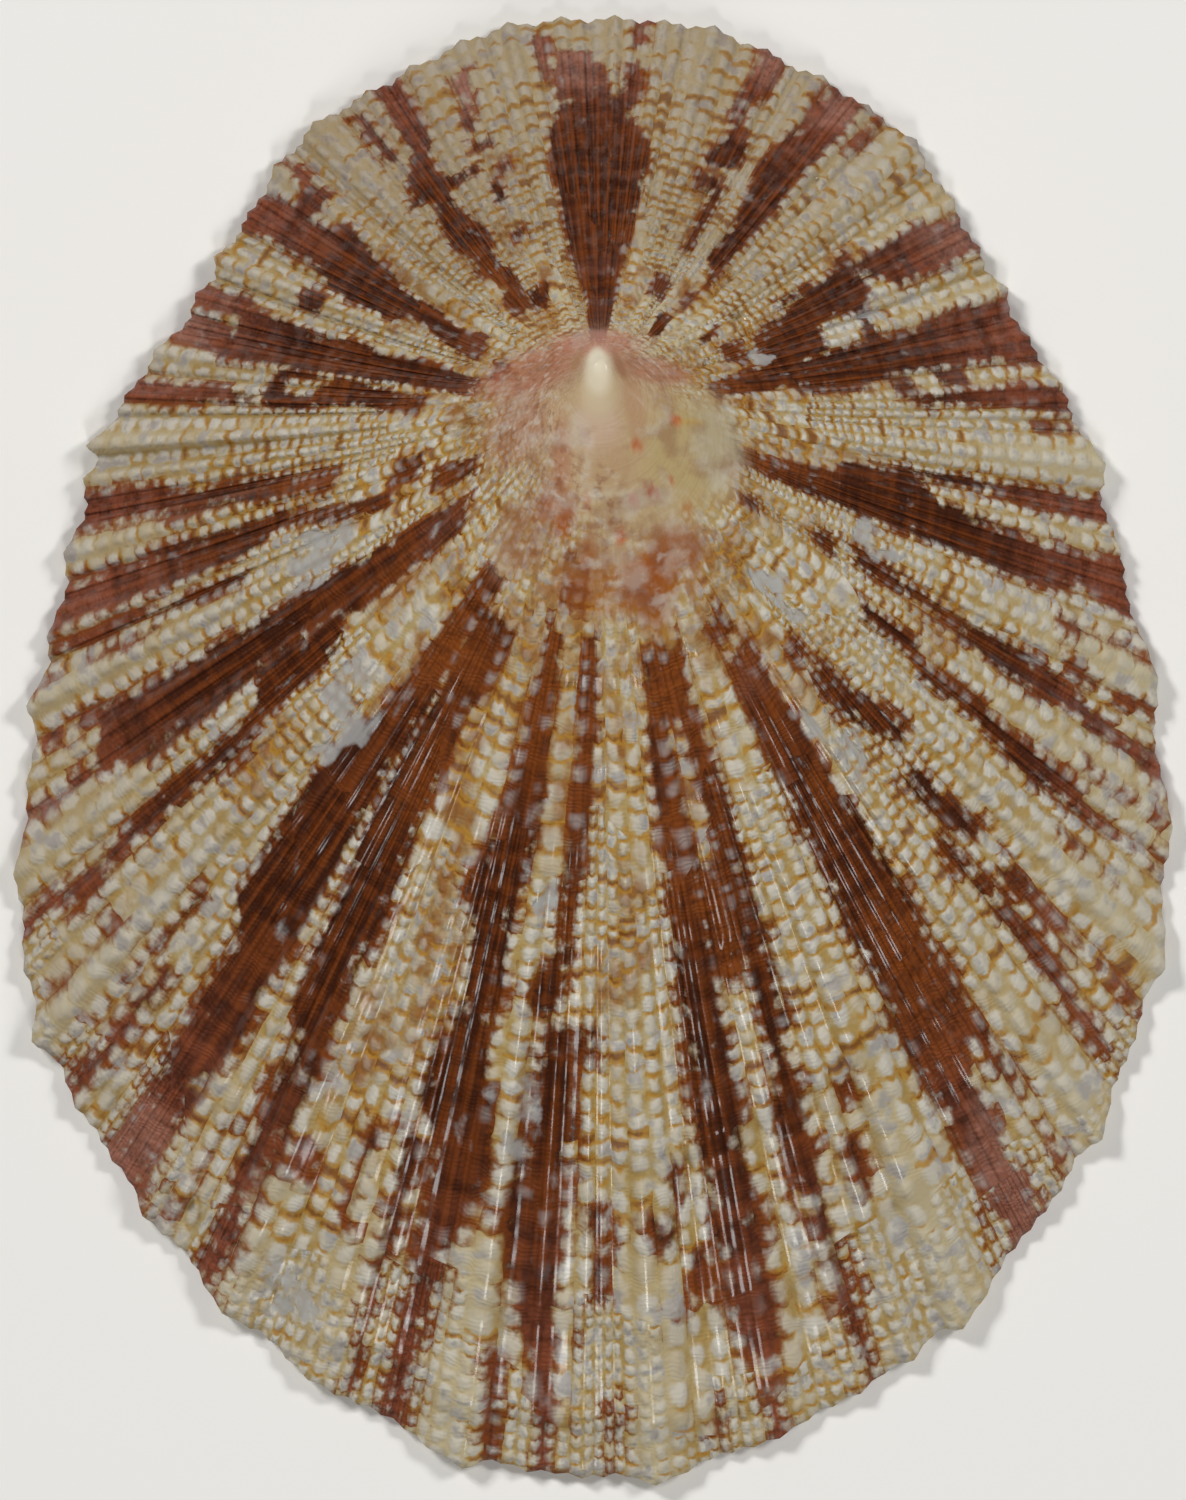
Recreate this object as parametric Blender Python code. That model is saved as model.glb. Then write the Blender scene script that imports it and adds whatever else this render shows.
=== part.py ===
"""A low oval limpet shell, one hollow cap with radiating ribs, growth ledges and a flat resting rim.

Plan directions follow the shell as it lies: +Y is the narrow front end, +X the right side, +Z up.
Angles around the shell run clockwise from the front, as seen from above.
Growth runs from 0 at the apex to 1 at the rim.
"""

import math

import bmesh
import bpy

MM = 0.001

# Whole shell, in millimetres
LENGTH = 70.0
WIDTH = 55.2
HEIGHT = 17.5

# Centre that the ribs spread from, and the tip of the beak that leans forward from it
RIB_CENTRE = (0.24, 15.5)
BEAK_TIP = (0.24, 18.3)
BEAK_REACH = 0.17
INNER_TIP = (0.24, 16.7)

# Wall, in millimetres
CROWN_WALL = 2.3
RIM_EDGE = 0.5
RIM_BEVEL = 0.2
RIM_INSET = 0.85

# Arch of the sides, as the power of growth: straighter in front, rounder behind
ARCH_MEAN = 1.29
ARCH_SWING = 0.13
INNER_ARCH = 1.02

# Valley line of the rim: reach from the rib centre every 15 degrees, in millimetres
OUTLINE_STEP = 15.0
OUTLINE_REACH = (
    19.2, 19.4, 19.3, 19.8, 19.6, 20.2, 22.6, 25.5,
    30.5, 37.1, 42.8, 47.7, 50.2, 47.8, 43.1, 38.2,
    31.1, 26.0, 23.2, 20.1, 19.4, 19.5, 19.0, 19.3,
)

# Main ribs: angle of the crest in degrees, and strength, which is 1 for a strong rib
RIBS = (
    (2.0, 0.35), (9.0, 0.20), (16.0, 0.45), (24.0, 0.30), (32.5, 0.45), (40.0, 0.20), (48.0, 0.60),
    (57.5, 0.45), (65.0, 0.30), (71.5, 0.70), (78.5, 0.25), (85.0, 0.45), (94.5, 1.05), (103.5, 0.45),
    (114.5, 1.00), (125.2, 0.90), (134.0, 1.00), (139.0, 0.20), (145.0, 0.95), (149.0, 0.25), (158.2, 1.20),
    (161.5, 0.50), (165.0, 0.25), (170.0, 0.35), (177.0, 0.95), (181.0, 0.15), (184.0, 0.20), (187.5, 1.20),
    (197.0, 0.55), (203.0, 0.95), (210.0, 0.75), (213.5, 0.15), (217.5, 0.40), (222.6, 1.30), (226.5, 0.40),
    (232.5, 0.80), (238.0, 0.35), (243.8, 1.20), (249.0, 0.60), (256.5, 0.90), (264.0, 0.70), (267.6, 1.20),
    (273.5, 0.25), (279.5, 0.60), (288.0, 0.60), (293.5, 0.70), (301.0, 0.20), (308.5, 0.50), (316.5, 0.50),
    (325.0, 0.35), (332.0, 0.45), (340.0, 0.35), (347.0, 0.45), (354.5, 0.35),
)
RIB_RISE = 0.50
RIB_SCALLOP = 0.65
RIB_START = 0.18
RIB_FULL = 0.75
SCALLOP_GROWTH = 3.0
INNER_SCALLOP_GROWTH = 9.0
INNER_RIB_SHARE = 0.35
INNER_RIB_START = 0.5

# Growth ledges, where an older rim stands proud: growth, first and last angle in degrees, step in millimetres
LEDGES = (
    (0.26, 0.0, 360.0, 0.22),
    (0.70, 148.0, 180.0, 0.35),
    (0.86, 100.0, 250.0, 0.22),
    (0.955, 170.0, 220.0, 0.40),
)
LEDGE_FADE = 0.06
LEDGE_SIDE = 6.0

# Growth lines that carry the faces, outside from the apex out and inside from the rim in
OUTER_ROWS = (
    0.03, 0.07, 0.12, 0.18, 0.255, 0.275, 0.34, 0.42, 0.50, 0.58,
    0.64, 0.695, 0.715, 0.79, 0.855, 0.875, 0.945, 0.965, 1.0,
)
INNER_ROWS = (0.94, 0.86, 0.74, 0.62, 0.50, 0.38, 0.27, 0.18, 0.10, 0.04)

# Columns of faces per rib: one at the apex, then two, and four by the rim, where the rows are these
OUTER_ROWS_OF_ONE = 4
OUTER_ROWS_OF_TWO = 9
INNER_ROWS_OF_FOUR = 1
INNER_ROWS_OF_TWO = 6

SHELL_BROWN = (0.33, 0.17, 0.09, 1.0)
SHELL_ROUGHNESS = 0.3
SHARP_ANGLE = math.radians(50.0)


def smooth_step(low, high, value):
    """Rises smoothly from 0 at low to 1 at high."""
    share = min(max((value - low) / (high - low), 0.0), 1.0)
    return share * share * (3.0 - 2.0 * share)


def outline_reach(angle):
    """Reach of the rim's valley line from the rib centre, by a closed Catmull-Rom curve."""
    place = (angle % 360.0) / OUTLINE_STEP
    first = int(place)
    share = place - first
    count = len(OUTLINE_REACH)
    before, start, end, after = (OUTLINE_REACH[(first + k) % count] for k in (-1, 0, 1, 2))
    return 0.5 * (
        2.0 * start
        + (end - before) * share
        + (2.0 * before - 5.0 * start + 4.0 * end - after) * share**2
        + (3.0 * start - before - 3.0 * end + after) * share**3
    )


def rib_at(place):
    """Angle and strength at a place counted in ribs, whole on each crest and half in each valley."""
    first = math.floor(place)
    share = place - first
    turns, index = divmod(first, len(RIBS))
    next_turns, next_index = divmod(first + 1, len(RIBS))
    angle = RIBS[index][0] + 360.0 * turns
    next_angle = RIBS[next_index][0] + 360.0 * next_turns
    strength = RIBS[index][1] + (RIBS[next_index][1] - RIBS[index][1]) * smooth_step(0.3, 0.7, share)
    return angle + (next_angle - angle) * share, strength


def rib_wave(place):
    """Wave of the ribs, from 0 in a valley to 1 on a crest."""
    return 0.5 + 0.5 * math.cos(2.0 * math.pi * place)


def rib_scallop(place):
    """How far the ribs push the rim outwards, in millimetres."""
    return RIB_SCALLOP * rib_at(place)[1] * rib_wave(place)


def rib_rise(place, growth):
    """How far the ribs stand up from the outside, in millimetres; they grow out of the smooth apex."""
    return RIB_RISE * math.sqrt(rib_at(place)[1]) * rib_wave(place) * smooth_step(RIB_START, RIB_FULL, growth)


def ledge_height(angle, growth):
    """Extra height just inside each older rim, in millimetres."""
    total = 0.0
    for line, first, last, step in LEDGES:
        if growth > line:
            continue
        whole_turn = last - first >= 360.0
        side = 1.0 if whole_turn else (
            smooth_step(first - LEDGE_SIDE, first + LEDGE_SIDE, angle)
            * (1.0 - smooth_step(last - LEDGE_SIDE, last + LEDGE_SIDE, angle))
        )
        total += side * step * math.exp((growth - line) / LEDGE_FADE)
    return total


def plan_point(tip, angle, growth, reach):
    """Place in plan on a growth line: the lines start round the tip and settle round the rib centre."""
    lean = math.exp(-growth / BEAK_REACH) - math.exp(-1.0 / BEAK_REACH)
    return (
        RIB_CENTRE[0] + (tip[0] - RIB_CENTRE[0]) * lean + reach * math.sin(math.radians(angle)),
        RIB_CENTRE[1] + (tip[1] - RIB_CENTRE[1]) * lean + reach * math.cos(math.radians(angle)),
    )


def arch(angle):
    """Power of growth by which the side at this angle falls away."""
    return ARCH_MEAN - ARCH_SWING * math.cos(math.radians(angle))


def outer_point(place, growth):
    """Point of the outside."""
    angle = rib_at(place)[0]
    reach = outline_reach(angle) * growth + rib_scallop(place) * growth**SCALLOP_GROWTH
    x, y = plan_point(BEAK_TIP, angle, growth, reach)
    rise = rib_rise(place, growth) + ledge_height(angle % 360.0, growth)
    return x, y, RIM_EDGE + (HEIGHT - RIM_EDGE) * (1.0 - growth ** arch(angle)) + rise


def rim_point(place, inset):
    """Point of the flat underside of the rim, at an inset from the outer edge."""
    angle = rib_at(place)[0]
    reach = outline_reach(angle) + rib_scallop(place) - inset
    x, y = plan_point(BEAK_TIP, angle, 1.0, reach)
    return x, y, 0.0


def inner_point(place, growth):
    """Point of the inside, which is smooth but for faint ribs next to the rim."""
    angle = rib_at(place)[0]
    reach = (outline_reach(angle) - RIM_INSET) * growth + rib_scallop(place) * growth**INNER_SCALLOP_GROWTH
    x, y = plan_point(INNER_TIP, angle, growth, reach)
    rise = INNER_RIB_SHARE * rib_rise(place, growth) * smooth_step(INNER_RIB_START, 1.0, growth)
    return x, y, (HEIGHT - CROWN_WALL) * (1.0 - growth ** (arch(angle) * INNER_ARCH)) + rise


def shell_rows():
    """For every row of vertices, from the outer tip to the inner tip, its function of the place."""
    rows = [lambda place: outer_point(place, 0.0)]
    rows += [lambda place, g=growth: outer_point(place, g) for growth in OUTER_ROWS]
    rows += [lambda place, i=inset: rim_point(place, i) for inset in (RIM_BEVEL, RIM_INSET)]
    rows += [lambda place, g=growth: inner_point(place, g) for growth in INNER_ROWS]
    rows += [lambda place: inner_point(place, 0.0)]
    return rows


def spun_barrel(row_count, columns):
    """A closed barrel of unit radius with one ring of vertices per row, its ends drawn to a point."""
    bm = bmesh.new()
    ends = (0, row_count - 1)
    profile = [bm.verts.new((0.0, 0.0 if row in ends else 1.0, row)) for row in range(row_count)]
    lines = [bm.edges.new(pair) for pair in zip(profile, profile[1:])]
    bmesh.ops.spin(
        bm, geom=profile + lines, cent=(0.0, 0.0, 0.0), axis=(0.0, 0.0, -1.0),
        angle=2.0 * math.pi, steps=columns, use_merge=True,
    )
    bmesh.ops.remove_doubles(bm, verts=bm.verts, dist=0.0001)
    return bm


def double_columns(bm, first_row, last_row):
    """Splits every face between two rows in two across the barrel, and keeps the new vertices on it."""
    rings = [
        edge for edge in bm.edges
        if len({round(vert.co.z) for vert in edge.verts}) == 1
        and first_row <= round(edge.verts[0].co.z) <= last_row
    ]
    bmesh.ops.subdivide_edges(bm, edges=rings, cuts=1, use_grid_fill=True, use_single_edge=True)
    for vert in bm.verts:
        radius = math.hypot(vert.co.x, vert.co.y)
        if radius > 0.5:
            vert.co.x /= radius
            vert.co.y /= radius


def build_shell():
    """The shell's mesh, with its base on the ground and its plan centred on the origin."""
    rows = shell_rows()
    rib_count = len(RIBS)
    inner_rim_row = len(OUTER_ROWS) + 2
    bm = spun_barrel(len(rows), rib_count)
    double_columns(bm, OUTER_ROWS_OF_ONE, inner_rim_row + INNER_ROWS_OF_TWO)
    double_columns(bm, OUTER_ROWS_OF_TWO, inner_rim_row + INNER_ROWS_OF_FOUR)
    for vert in bm.verts:
        place = math.atan2(vert.co.x, vert.co.y) / (2.0 * math.pi) * rib_count
        vert.co = rows[round(vert.co.z)](place)
    bm.normal_update()
    bmesh.ops.recalc_face_normals(bm, faces=bm.faces)
    fit_to_box(bm)
    bmesh.ops.scale(bm, vec=(MM, MM, MM), verts=bm.verts)
    return bm


def fit_to_box(bm):
    """Sets the overall length, width and height exactly, with the base centre at the origin."""
    lows = [min(vert.co[axis] for vert in bm.verts) for axis in range(3)]
    highs = [max(vert.co[axis] for vert in bm.verts) for axis in range(3)]
    sizes = (WIDTH, LENGTH, HEIGHT)
    for vert in bm.verts:
        for axis in range(3):
            share = (vert.co[axis] - lows[axis]) / (highs[axis] - lows[axis])
            vert.co[axis] = share * sizes[axis] - (0.0 if axis == 2 else sizes[axis] / 2.0)


def shell_material():
    """Glossy brown and cream shell, given here by one mean colour."""
    material = bpy.data.materials.new("limpet shell")
    material.use_nodes = True
    shader = material.node_tree.nodes["Principled BSDF"]
    shader.inputs["Base Color"].default_value = SHELL_BROWN
    shader.inputs["Roughness"].default_value = SHELL_ROUGHNESS
    shader.inputs["Metallic"].default_value = 0.0
    return material


def main():
    for old in list(bpy.data.objects):
        bpy.data.objects.remove(old)
    collection = bpy.data.collections.new("limpet shell")
    bpy.context.scene.collection.children.link(collection)

    mesh = bpy.data.meshes.new("shell")
    bm = build_shell()
    bm.to_mesh(mesh)
    bm.free()
    mesh.shade_smooth()
    mesh.set_sharp_from_angle(angle=SHARP_ANGLE)
    mesh.materials.append(shell_material())
    shell = bpy.data.objects.new("shell", mesh)
    collection.objects.link(shell)


if __name__ == "__main__":
    main()
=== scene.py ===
"""Looks of a cymbula miniata limpet shell: one ribbed, beaded cap with painted rays and a nacre lining.

Plan directions follow the CAD part: +Y is the narrow front end, +X the right side, +Z up.
Angles run clockwise from the front as seen from above. Growth runs from 0 at the apex to 1 at the rim.
All shell sizes are in millimetres until the mesh is finished.
"""

import logging
import math
from dataclasses import dataclass
from enum import Enum

import bmesh
import bpy
import numpy as np
from numpy.typing import NDArray
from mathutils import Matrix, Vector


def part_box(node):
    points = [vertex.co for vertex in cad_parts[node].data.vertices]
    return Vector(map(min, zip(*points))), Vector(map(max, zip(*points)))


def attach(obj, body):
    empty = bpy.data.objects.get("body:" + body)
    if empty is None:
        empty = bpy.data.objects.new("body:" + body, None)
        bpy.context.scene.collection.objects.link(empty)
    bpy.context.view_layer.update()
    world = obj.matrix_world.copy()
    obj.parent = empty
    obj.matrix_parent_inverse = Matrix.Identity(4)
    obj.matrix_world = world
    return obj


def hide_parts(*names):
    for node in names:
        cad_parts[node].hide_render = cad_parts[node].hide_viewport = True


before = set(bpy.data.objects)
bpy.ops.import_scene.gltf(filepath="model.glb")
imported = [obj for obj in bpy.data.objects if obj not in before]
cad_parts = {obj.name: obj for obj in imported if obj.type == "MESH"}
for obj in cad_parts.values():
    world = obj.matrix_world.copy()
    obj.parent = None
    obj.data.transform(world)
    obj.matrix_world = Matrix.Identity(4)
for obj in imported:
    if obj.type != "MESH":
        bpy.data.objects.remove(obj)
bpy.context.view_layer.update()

log = logging.getLogger("limpet")
Floats = NDArray[np.float64]
Whole = NDArray[np.int64]
Socket = bpy.types.NodeSocket
Links = dict[int | str, object] | tuple[object, ...]
Tints = tuple[tuple[Socket, float, float, float, float, Socket, str], ...]

MM = 0.001

# Ribs round the shell: angle of the crest in degrees, and strength.
RIBS: tuple[tuple[float, float], ...] = (
    (2, 0.35), (9, 0.2), (16, 0.45), (24, 0.3), (32.5, 0.45), (40, 0.2), (48, 0.6), (57.5, 0.45), (65, 0.3),
    (71.5, 0.7), (78.5, 0.25), (85, 0.45), (94.5, 1.05), (103.5, 0.45), (114.5, 1), (125.2, 0.9), (134, 1), (139, 0.2),
    (145, 0.95), (149, 0.25), (158.2, 1.2), (161.5, 0.5), (165, 0.25), (170, 0.35), (177, 0.95), (181, 0.15),
    (184, 0.2), (187.5, 1.2), (197, 0.55), (203, 0.95), (210, 0.75), (213.5, 0.15), (217.5, 0.4), (222.6, 1.3),
    (226.5, 0.4), (232.5, 0.8), (238, 0.35), (243.8, 1.2), (249, 0.6), (256.5, 0.9), (264, 0.7), (267.6, 1.2),
    (273.5, 0.25), (279.5, 0.6), (288, 0.6), (293.5, 0.7), (301, 0.2), (308.5, 0.5), (316.5, 0.5), (325, 0.35),
    (332, 0.45), (340, 0.35), (347, 0.45), (354.5, 0.35),
)

# Reach of the rim from the rib centre, one length every 15 degrees.
OUTLINE_REACH: tuple[float, ...] = (
    19.2, 19.4, 19.3, 19.8, 19.6, 20.2, 22.6, 25.5, 30.5, 37.1, 42.8, 47.7, 50.2, 47.8, 43.1, 38.2, 31.1, 26, 23.2,
    20.1, 19.4, 19.5, 19, 19.3,
)

# Older rims that stand up as ledges: growth, first angle, last angle, step in millimetres.
LEDGES: tuple[tuple[float, float, float, float], ...] = (
    (0.26, 0, 360, 0.22), (0.7, 148, 180, 0.35), (0.86, 100, 250, 0.22), (0.955, 170, 220, 0.4),
)

# Dark rays as listed strokes. Each line across a stroke lists growth, angle of its first side, angle of its last.
STROKES: tuple[tuple[tuple[float, float, float], ...], ...] = (
    ((0.19, -6, 5), (0.28, -5.5, 8), (0.34, -8, 9.5), (0.4, -10, 10), (0.55, -10, 10.5), (0.62, -10.5, 11),
     (0.68, -10, 10.8), (0.72, -9, 7.5), (0.76, -8, 6), (0.79, -7.5, 5.5)),
    ((0.78, -7.5, -0.5), (0.85, -7, -1), (0.91, -6, -1)), ((0.77, 2.5, 7), (0.83, 4, 7.5), (0.88, 4.3, 6.5)),
    ((0.78, -1, 3), (0.83, -1.5, 1.5), (0.88, -1, 0.5)), ((0.84, -9.5, -7.5), (0.95, -9.5, -7)),
    ((0.92, 5.6, 7.6), (1.01, 5.4, 8)), ((0.325, 21, 28), (0.385, 21, 28)), ((0.24, 30, 36), (0.3, 29, 36)),
    ((0.46, 25.4, 28.6), (0.56, 26.2, 28.6), (0.64, 26, 28.4)), ((0.6, 21.5, 26), (0.655, 21, 27)),
    ((0.675, 22, 24.5), (0.7, 22, 29), (0.75, 24, 29), (0.79, 24, 27)),
    ((0.79, 23, 26), (0.85, 22.6, 25.4), (0.92, 23.6, 27.6), (1.01, 23.6, 27.2)), ((0.325, 34, 38.5), (0.385, 34, 38)),
    ((0.4, 38, 40), (0.45, 37, 40), (0.47, 33.5, 40), (0.52, 34, 39.6), (0.6, 34, 40), (0.66, 33, 40),
     (0.7, 32, 39.5), (0.74, 31.5, 39), (0.8, 33, 39.8), (0.9, 34, 40.4), (1.01, 34.4, 40.6)),
    ((0.86, 42, 43), (1.01, 42, 43.4)), ((0.3, 51, 54), (0.355, 51, 55)),
    ((0.335, 57, 66), (0.365, 60, 70), (0.39, 60, 66)),
    ((0.46, 61, 66), (0.52, 59.5, 66), (0.6, 58, 66), (0.66, 57.4, 66), (0.69, 55, 66), (0.715, 54.5, 65)),
    ((0.71, 57.8, 61), (0.76, 58, 63), (0.785, 58.4, 65.6), (0.86, 57.4, 65.6), (0.92, 59, 66), (1.01, 60, 66.6)),
    ((0.655, 65, 82), (0.685, 64, 76)), ((0.41, 62, 74), (0.47, 60, 74), (0.56, 60, 73)),
    ((0.44, 80, 83), (0.6, 80, 83.5)), ((0.5, 56, 58.5), (0.6, 56.5, 58.5)),
    ((0.265, 73, 80), (0.31, 71, 80), (0.36, 70.6, 80), (0.42, 72, 80), (0.5, 73, 81.5), (0.56, 73, 83.4),
     (0.61, 73, 82), (0.66, 73.5, 81), (0.8, 73, 81), (0.88, 72.4, 81.2), (1.01, 73, 82)),
    ((0.645, 81, 85), (0.69, 81.5, 87)), ((0.75, 81, 84), (0.81, 81, 84)),
    ((0.69, 84, 87.6), (0.76, 85, 87), (0.86, 84.5, 87.6), (1.01, 85.4, 88.6)),
    ((0.24, 102, 107), (0.29, 101, 107.6), (0.35, 102, 109), (0.45, 102, 110), (0.475, 99, 110), (0.6, 99, 110),
     (0.655, 103, 110), (0.72, 103.5, 110.5), (0.8, 104, 110.5), (0.9, 104.5, 109), (1.01, 104, 112)),
    ((0.58, 98.6, 101), (0.7, 98, 100), (0.8, 98.5, 100.5), (0.9, 98.5, 101), (1.01, 98, 101.5)),
    ((0.25, 117, 120), (0.28, 117, 120)), ((0.38, 116.5, 119.6), (0.42, 116, 120)),
    ((0.455, 116.2, 119.6), (0.54, 116.6, 119.8)),
    ((0.54, 117.5, 119.6), (0.6, 117.6, 120.4), (0.66, 118, 121), (0.72, 118, 122), (0.8, 118.4, 122),
     (0.9, 120, 122.6), (1.01, 120, 123.2)),
    ((0.84, 117, 118.2), (1.01, 117, 118.4)), ((0.84, 112.2, 113.4), (1.01, 112.2, 113.4)),
    ((0.86, 124.6, 125.4), (1.01, 124.6, 125.6)), ((0.8, 131, 132), (0.92, 131, 132)),
    ((0.9, 89.8, 91), (1.01, 90, 91.2)), ((0.46, 124, 127), (0.56, 124, 127)),
    ((0.56, 126, 128.6), (0.62, 126, 128.4), (0.66, 125.6, 128.2), (0.7, 126.8, 129), (0.76, 126.5, 130),
     (0.81, 126.8, 130), (0.86, 127.5, 129.6), (1.01, 127.5, 129.8)),
    ((0.35, 138, 141), (0.38, 138, 141)),
    ((0.395, 137, 141), (0.45, 136.4, 140.6), (0.5, 135, 139), (0.55, 134.5, 137.5)),
    ((0.56, 137.6, 140), (0.6, 136.8, 139.8), (0.65, 136.6, 139.2), (0.69, 136.4, 138)),
    ((0.73, 136.8, 138.4), (0.85, 136.4, 138), (1.01, 136, 138)),
    ((0.64, 139.9, 141), (0.74, 139.3, 141), (0.8, 139.3, 141.4), (1.01, 139.7, 141.6)),
    ((0.25, 147, 153), (0.28, 146, 153)),
    ((0.295, 145.5, 153), (0.45, 146, 153.4), (0.535, 146.2, 154), (0.72, 147, 154), (0.77, 147.6, 154),
     (0.8, 148, 154)),
    ((0.79, 147, 148.6), (1.01, 147, 148.8)), ((0.79, 149.4, 154), (0.92, 149.6, 154), (1.01, 149.4, 154.4)),
    ((0.23, 160, 170), (0.3, 160.5, 170)),
    ((0.295, 160.5, 164.5), (0.45, 161.5, 165), (0.575, 162, 165), (0.66, 162.5, 165), (0.72, 163, 166),
     (0.9, 163, 165.6), (1.01, 163, 164.8)),
    ((0.295, 167, 171), (0.45, 167, 172), (0.58, 168, 172), (0.66, 168, 172.2), (0.74, 168.4, 172),
     (0.86, 168.2, 172), (0.91, 168.2, 171.6), (0.93, 168.8, 171), (1.01, 168.8, 171)),
    ((0.44, 162.5, 169), (0.5, 162.5, 168.5), (0.56, 162, 169)), ((0.33, 163, 166), (0.38, 163, 165)),
    ((0.75, 174, 176.4), (0.79, 174.4, 176)), ((0.79, 172.4, 173.9), (0.83, 172.4, 173.9)),
    ((0.83, 174.2, 175.8), (0.87, 174.2, 175.6)), ((0.78, 179.2, 180.6), (0.83, 179.2, 180.6)),
    ((0.735, 179.4, 181), (0.765, 179.4, 180.8)), ((0.91, 178.4, 180.1), (1.01, 178.5, 180.1)),
    ((0.93, 172.3, 174), (1.01, 172.4, 174)), ((0.71, 173.6, 174.8), (0.74, 173.6, 174.6)),
    ((0.715, 159, 160), (0.735, 159, 160)), ((0.765, 160.2, 161.5), (0.83, 160, 161.3)),
    ((0.8, 184.8, 185.6), (0.9, 184.8, 185.6)), ((0.13, 183, 194), (0.18, 184, 192)),
    ((0.2, 180, 184), (0.3, 180.4, 184), (0.4, 181.5, 184.2), (0.5, 182.2, 185), (0.52, 183.4, 186),
     (0.56, 184.2, 186.8)),
    ((0.565, 179.7, 185.4), (0.6, 180.2, 185.4)), ((0.595, 182.2, 186.2), (0.64, 181.8, 186), (0.7, 181.8, 186.4)),
    ((0.69, 182, 186.8), (0.77, 182, 186.6), (0.84, 181.8, 186), (0.88, 181.8, 185), (0.9, 181.8, 184.4),
     (1.01, 181.8, 184.4)),
    ((0.885, 185, 187.4), (1.01, 185, 187)),
    ((0.2, 189, 193.5), (0.3, 188, 193.6), (0.4, 188, 194), (0.48, 189.5, 196), (0.55, 189.3, 193.5),
     (0.6, 190.4, 194), (0.63, 188.7, 195), (0.68, 188.6, 195), (0.72, 188, 193), (0.78, 189.4, 193),
     (0.86, 190, 193), (1.01, 190.4, 193.4)),
    ((0.72, 193.5, 195.5), (1.01, 193.5, 195.4)),
    ((0.23, 201, 212), (0.3, 201.6, 212), (0.33, 204, 210.6), (0.5, 203.4, 210.4), (0.56, 203, 209),
     (0.7, 203.5, 208), (0.72, 203, 206.5), (1.01, 203, 206.4)),
    ((0.79, 201, 203), (0.83, 201, 203)), ((0.84, 207.4, 208.6), (1.01, 207.4, 208.8)),
    ((0.74, 196.8, 198), (0.84, 197, 198)),
    ((0.2, 210, 217), (0.42, 210.6, 217), (0.46, 211, 219), (0.52, 210.4, 219), (0.68, 210, 218), (0.71, 210, 215),
     (1.01, 210, 215)),
    ((0.8, 217, 219.6), (1.01, 217, 220)),
    ((0.43, 228, 230), (0.495, 228, 230.4), (0.51, 228.5, 234), (0.57, 228, 233), (0.585, 227, 230),
     (0.8, 227.4, 230), (0.85, 226.4, 229.4), (0.95, 227.4, 230), (1.01, 227.6, 230)),
    ((0.22, 231, 240), (0.3, 231, 240), (0.4, 230.6, 240), (0.44, 233.6, 240), (0.78, 233, 240),
     (0.82, 234.2, 240.4), (0.87, 234.6, 240.8)),
    ((0.86, 234, 236.8), (1.01, 233.8, 236.4)), ((0.43, 229, 234), (0.58, 228, 234)),
    ((0.83, 223.6, 224.4), (1.01, 223.4, 224.6)), ((0.72, 219.6, 220.6), (0.86, 219.8, 221), (1.01, 220, 221)),
    ((0.78, 244.8, 245.6), (1.01, 244.8, 245.6)), ((0.62, 245.4, 247), (0.72, 245.8, 247.6), (0.8, 246.4, 247.4)),
    ((0.86, 238.9, 241), (1.01, 239.3, 241.2)), ((0.22, 246, 254), (0.3, 246.4, 254)),
    ((0.325, 252, 260), (0.38, 252.4, 259)),
    ((0.375, 247.5, 251), (0.47, 249, 252), (0.58, 252, 254.5), (0.62, 249.4, 254), (0.8, 249, 254),
     (1.01, 249, 253.6)),
    ((0.79, 246.5, 248.2), (1.01, 246.5, 248)),
    ((0.49, 255, 260), (0.6, 255.6, 260.6), (0.64, 257, 261), (0.72, 257.4, 260.6), (0.8, 257.6, 260.8),
     (0.86, 258.5, 262.5), (1.01, 258.5, 262.4)),
    ((0.37, 272, 278), (0.43, 272.4, 278.6), (0.5, 273.6, 279.4), (0.58, 273, 280), (0.61, 272, 275.4),
     (0.67, 272.4, 275.6), (0.69, 273, 280), (0.71, 273, 279.6)),
    ((0.6, 278.4, 280), (0.7, 278.6, 280)),
    ((0.71, 272.6, 275), (0.8, 273, 275.6), (0.9, 273, 276), (1.01, 272.6, 276)),
    ((0.29, 281, 289), (0.35, 280.4, 289.4), (0.44, 280, 289), (0.5, 279.6, 288), (0.58, 280, 289),
     (0.64, 280, 288.4), (0.7, 280, 287.4), (0.8, 280, 288.6), (0.87, 280, 289)),
    ((0.86, 280, 284.6), (0.92, 281, 285), (1.01, 281.6, 285.4)), ((0.86, 286, 289.8), (1.01, 286.4, 289.8)),
    ((0.32, 296, 308.6), (0.36, 296, 306), (0.4, 296.6, 304.6), (0.46, 299, 305.4), (0.52, 299, 304.6),
     (0.55, 295.6, 303.6), (0.6, 296, 306.6), (0.66, 296, 307), (0.72, 296.6, 308), (0.77, 298, 308.6),
     (0.8, 299, 305.6), (0.9, 299, 305.6), (1.01, 298.8, 305)),
    ((0.84, 304, 310.8), (0.9, 304, 310)), ((0.715, 291, 295), (0.775, 291.4, 295)),
    ((0.9, 309.4, 311), (1.01, 309.4, 311.4)),
    ((0.315, 320, 330), (0.36, 321, 330), (0.39, 324, 330), (0.43, 323, 330), (0.46, 320, 328), (0.49, 322.4, 328),
     (0.52, 320, 330), (0.58, 320.6, 329), (0.62, 322, 327.6), (0.66, 323.6, 327), (0.69, 323, 329)),
    ((0.675, 318, 335), (0.7, 319.5, 336)),
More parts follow.
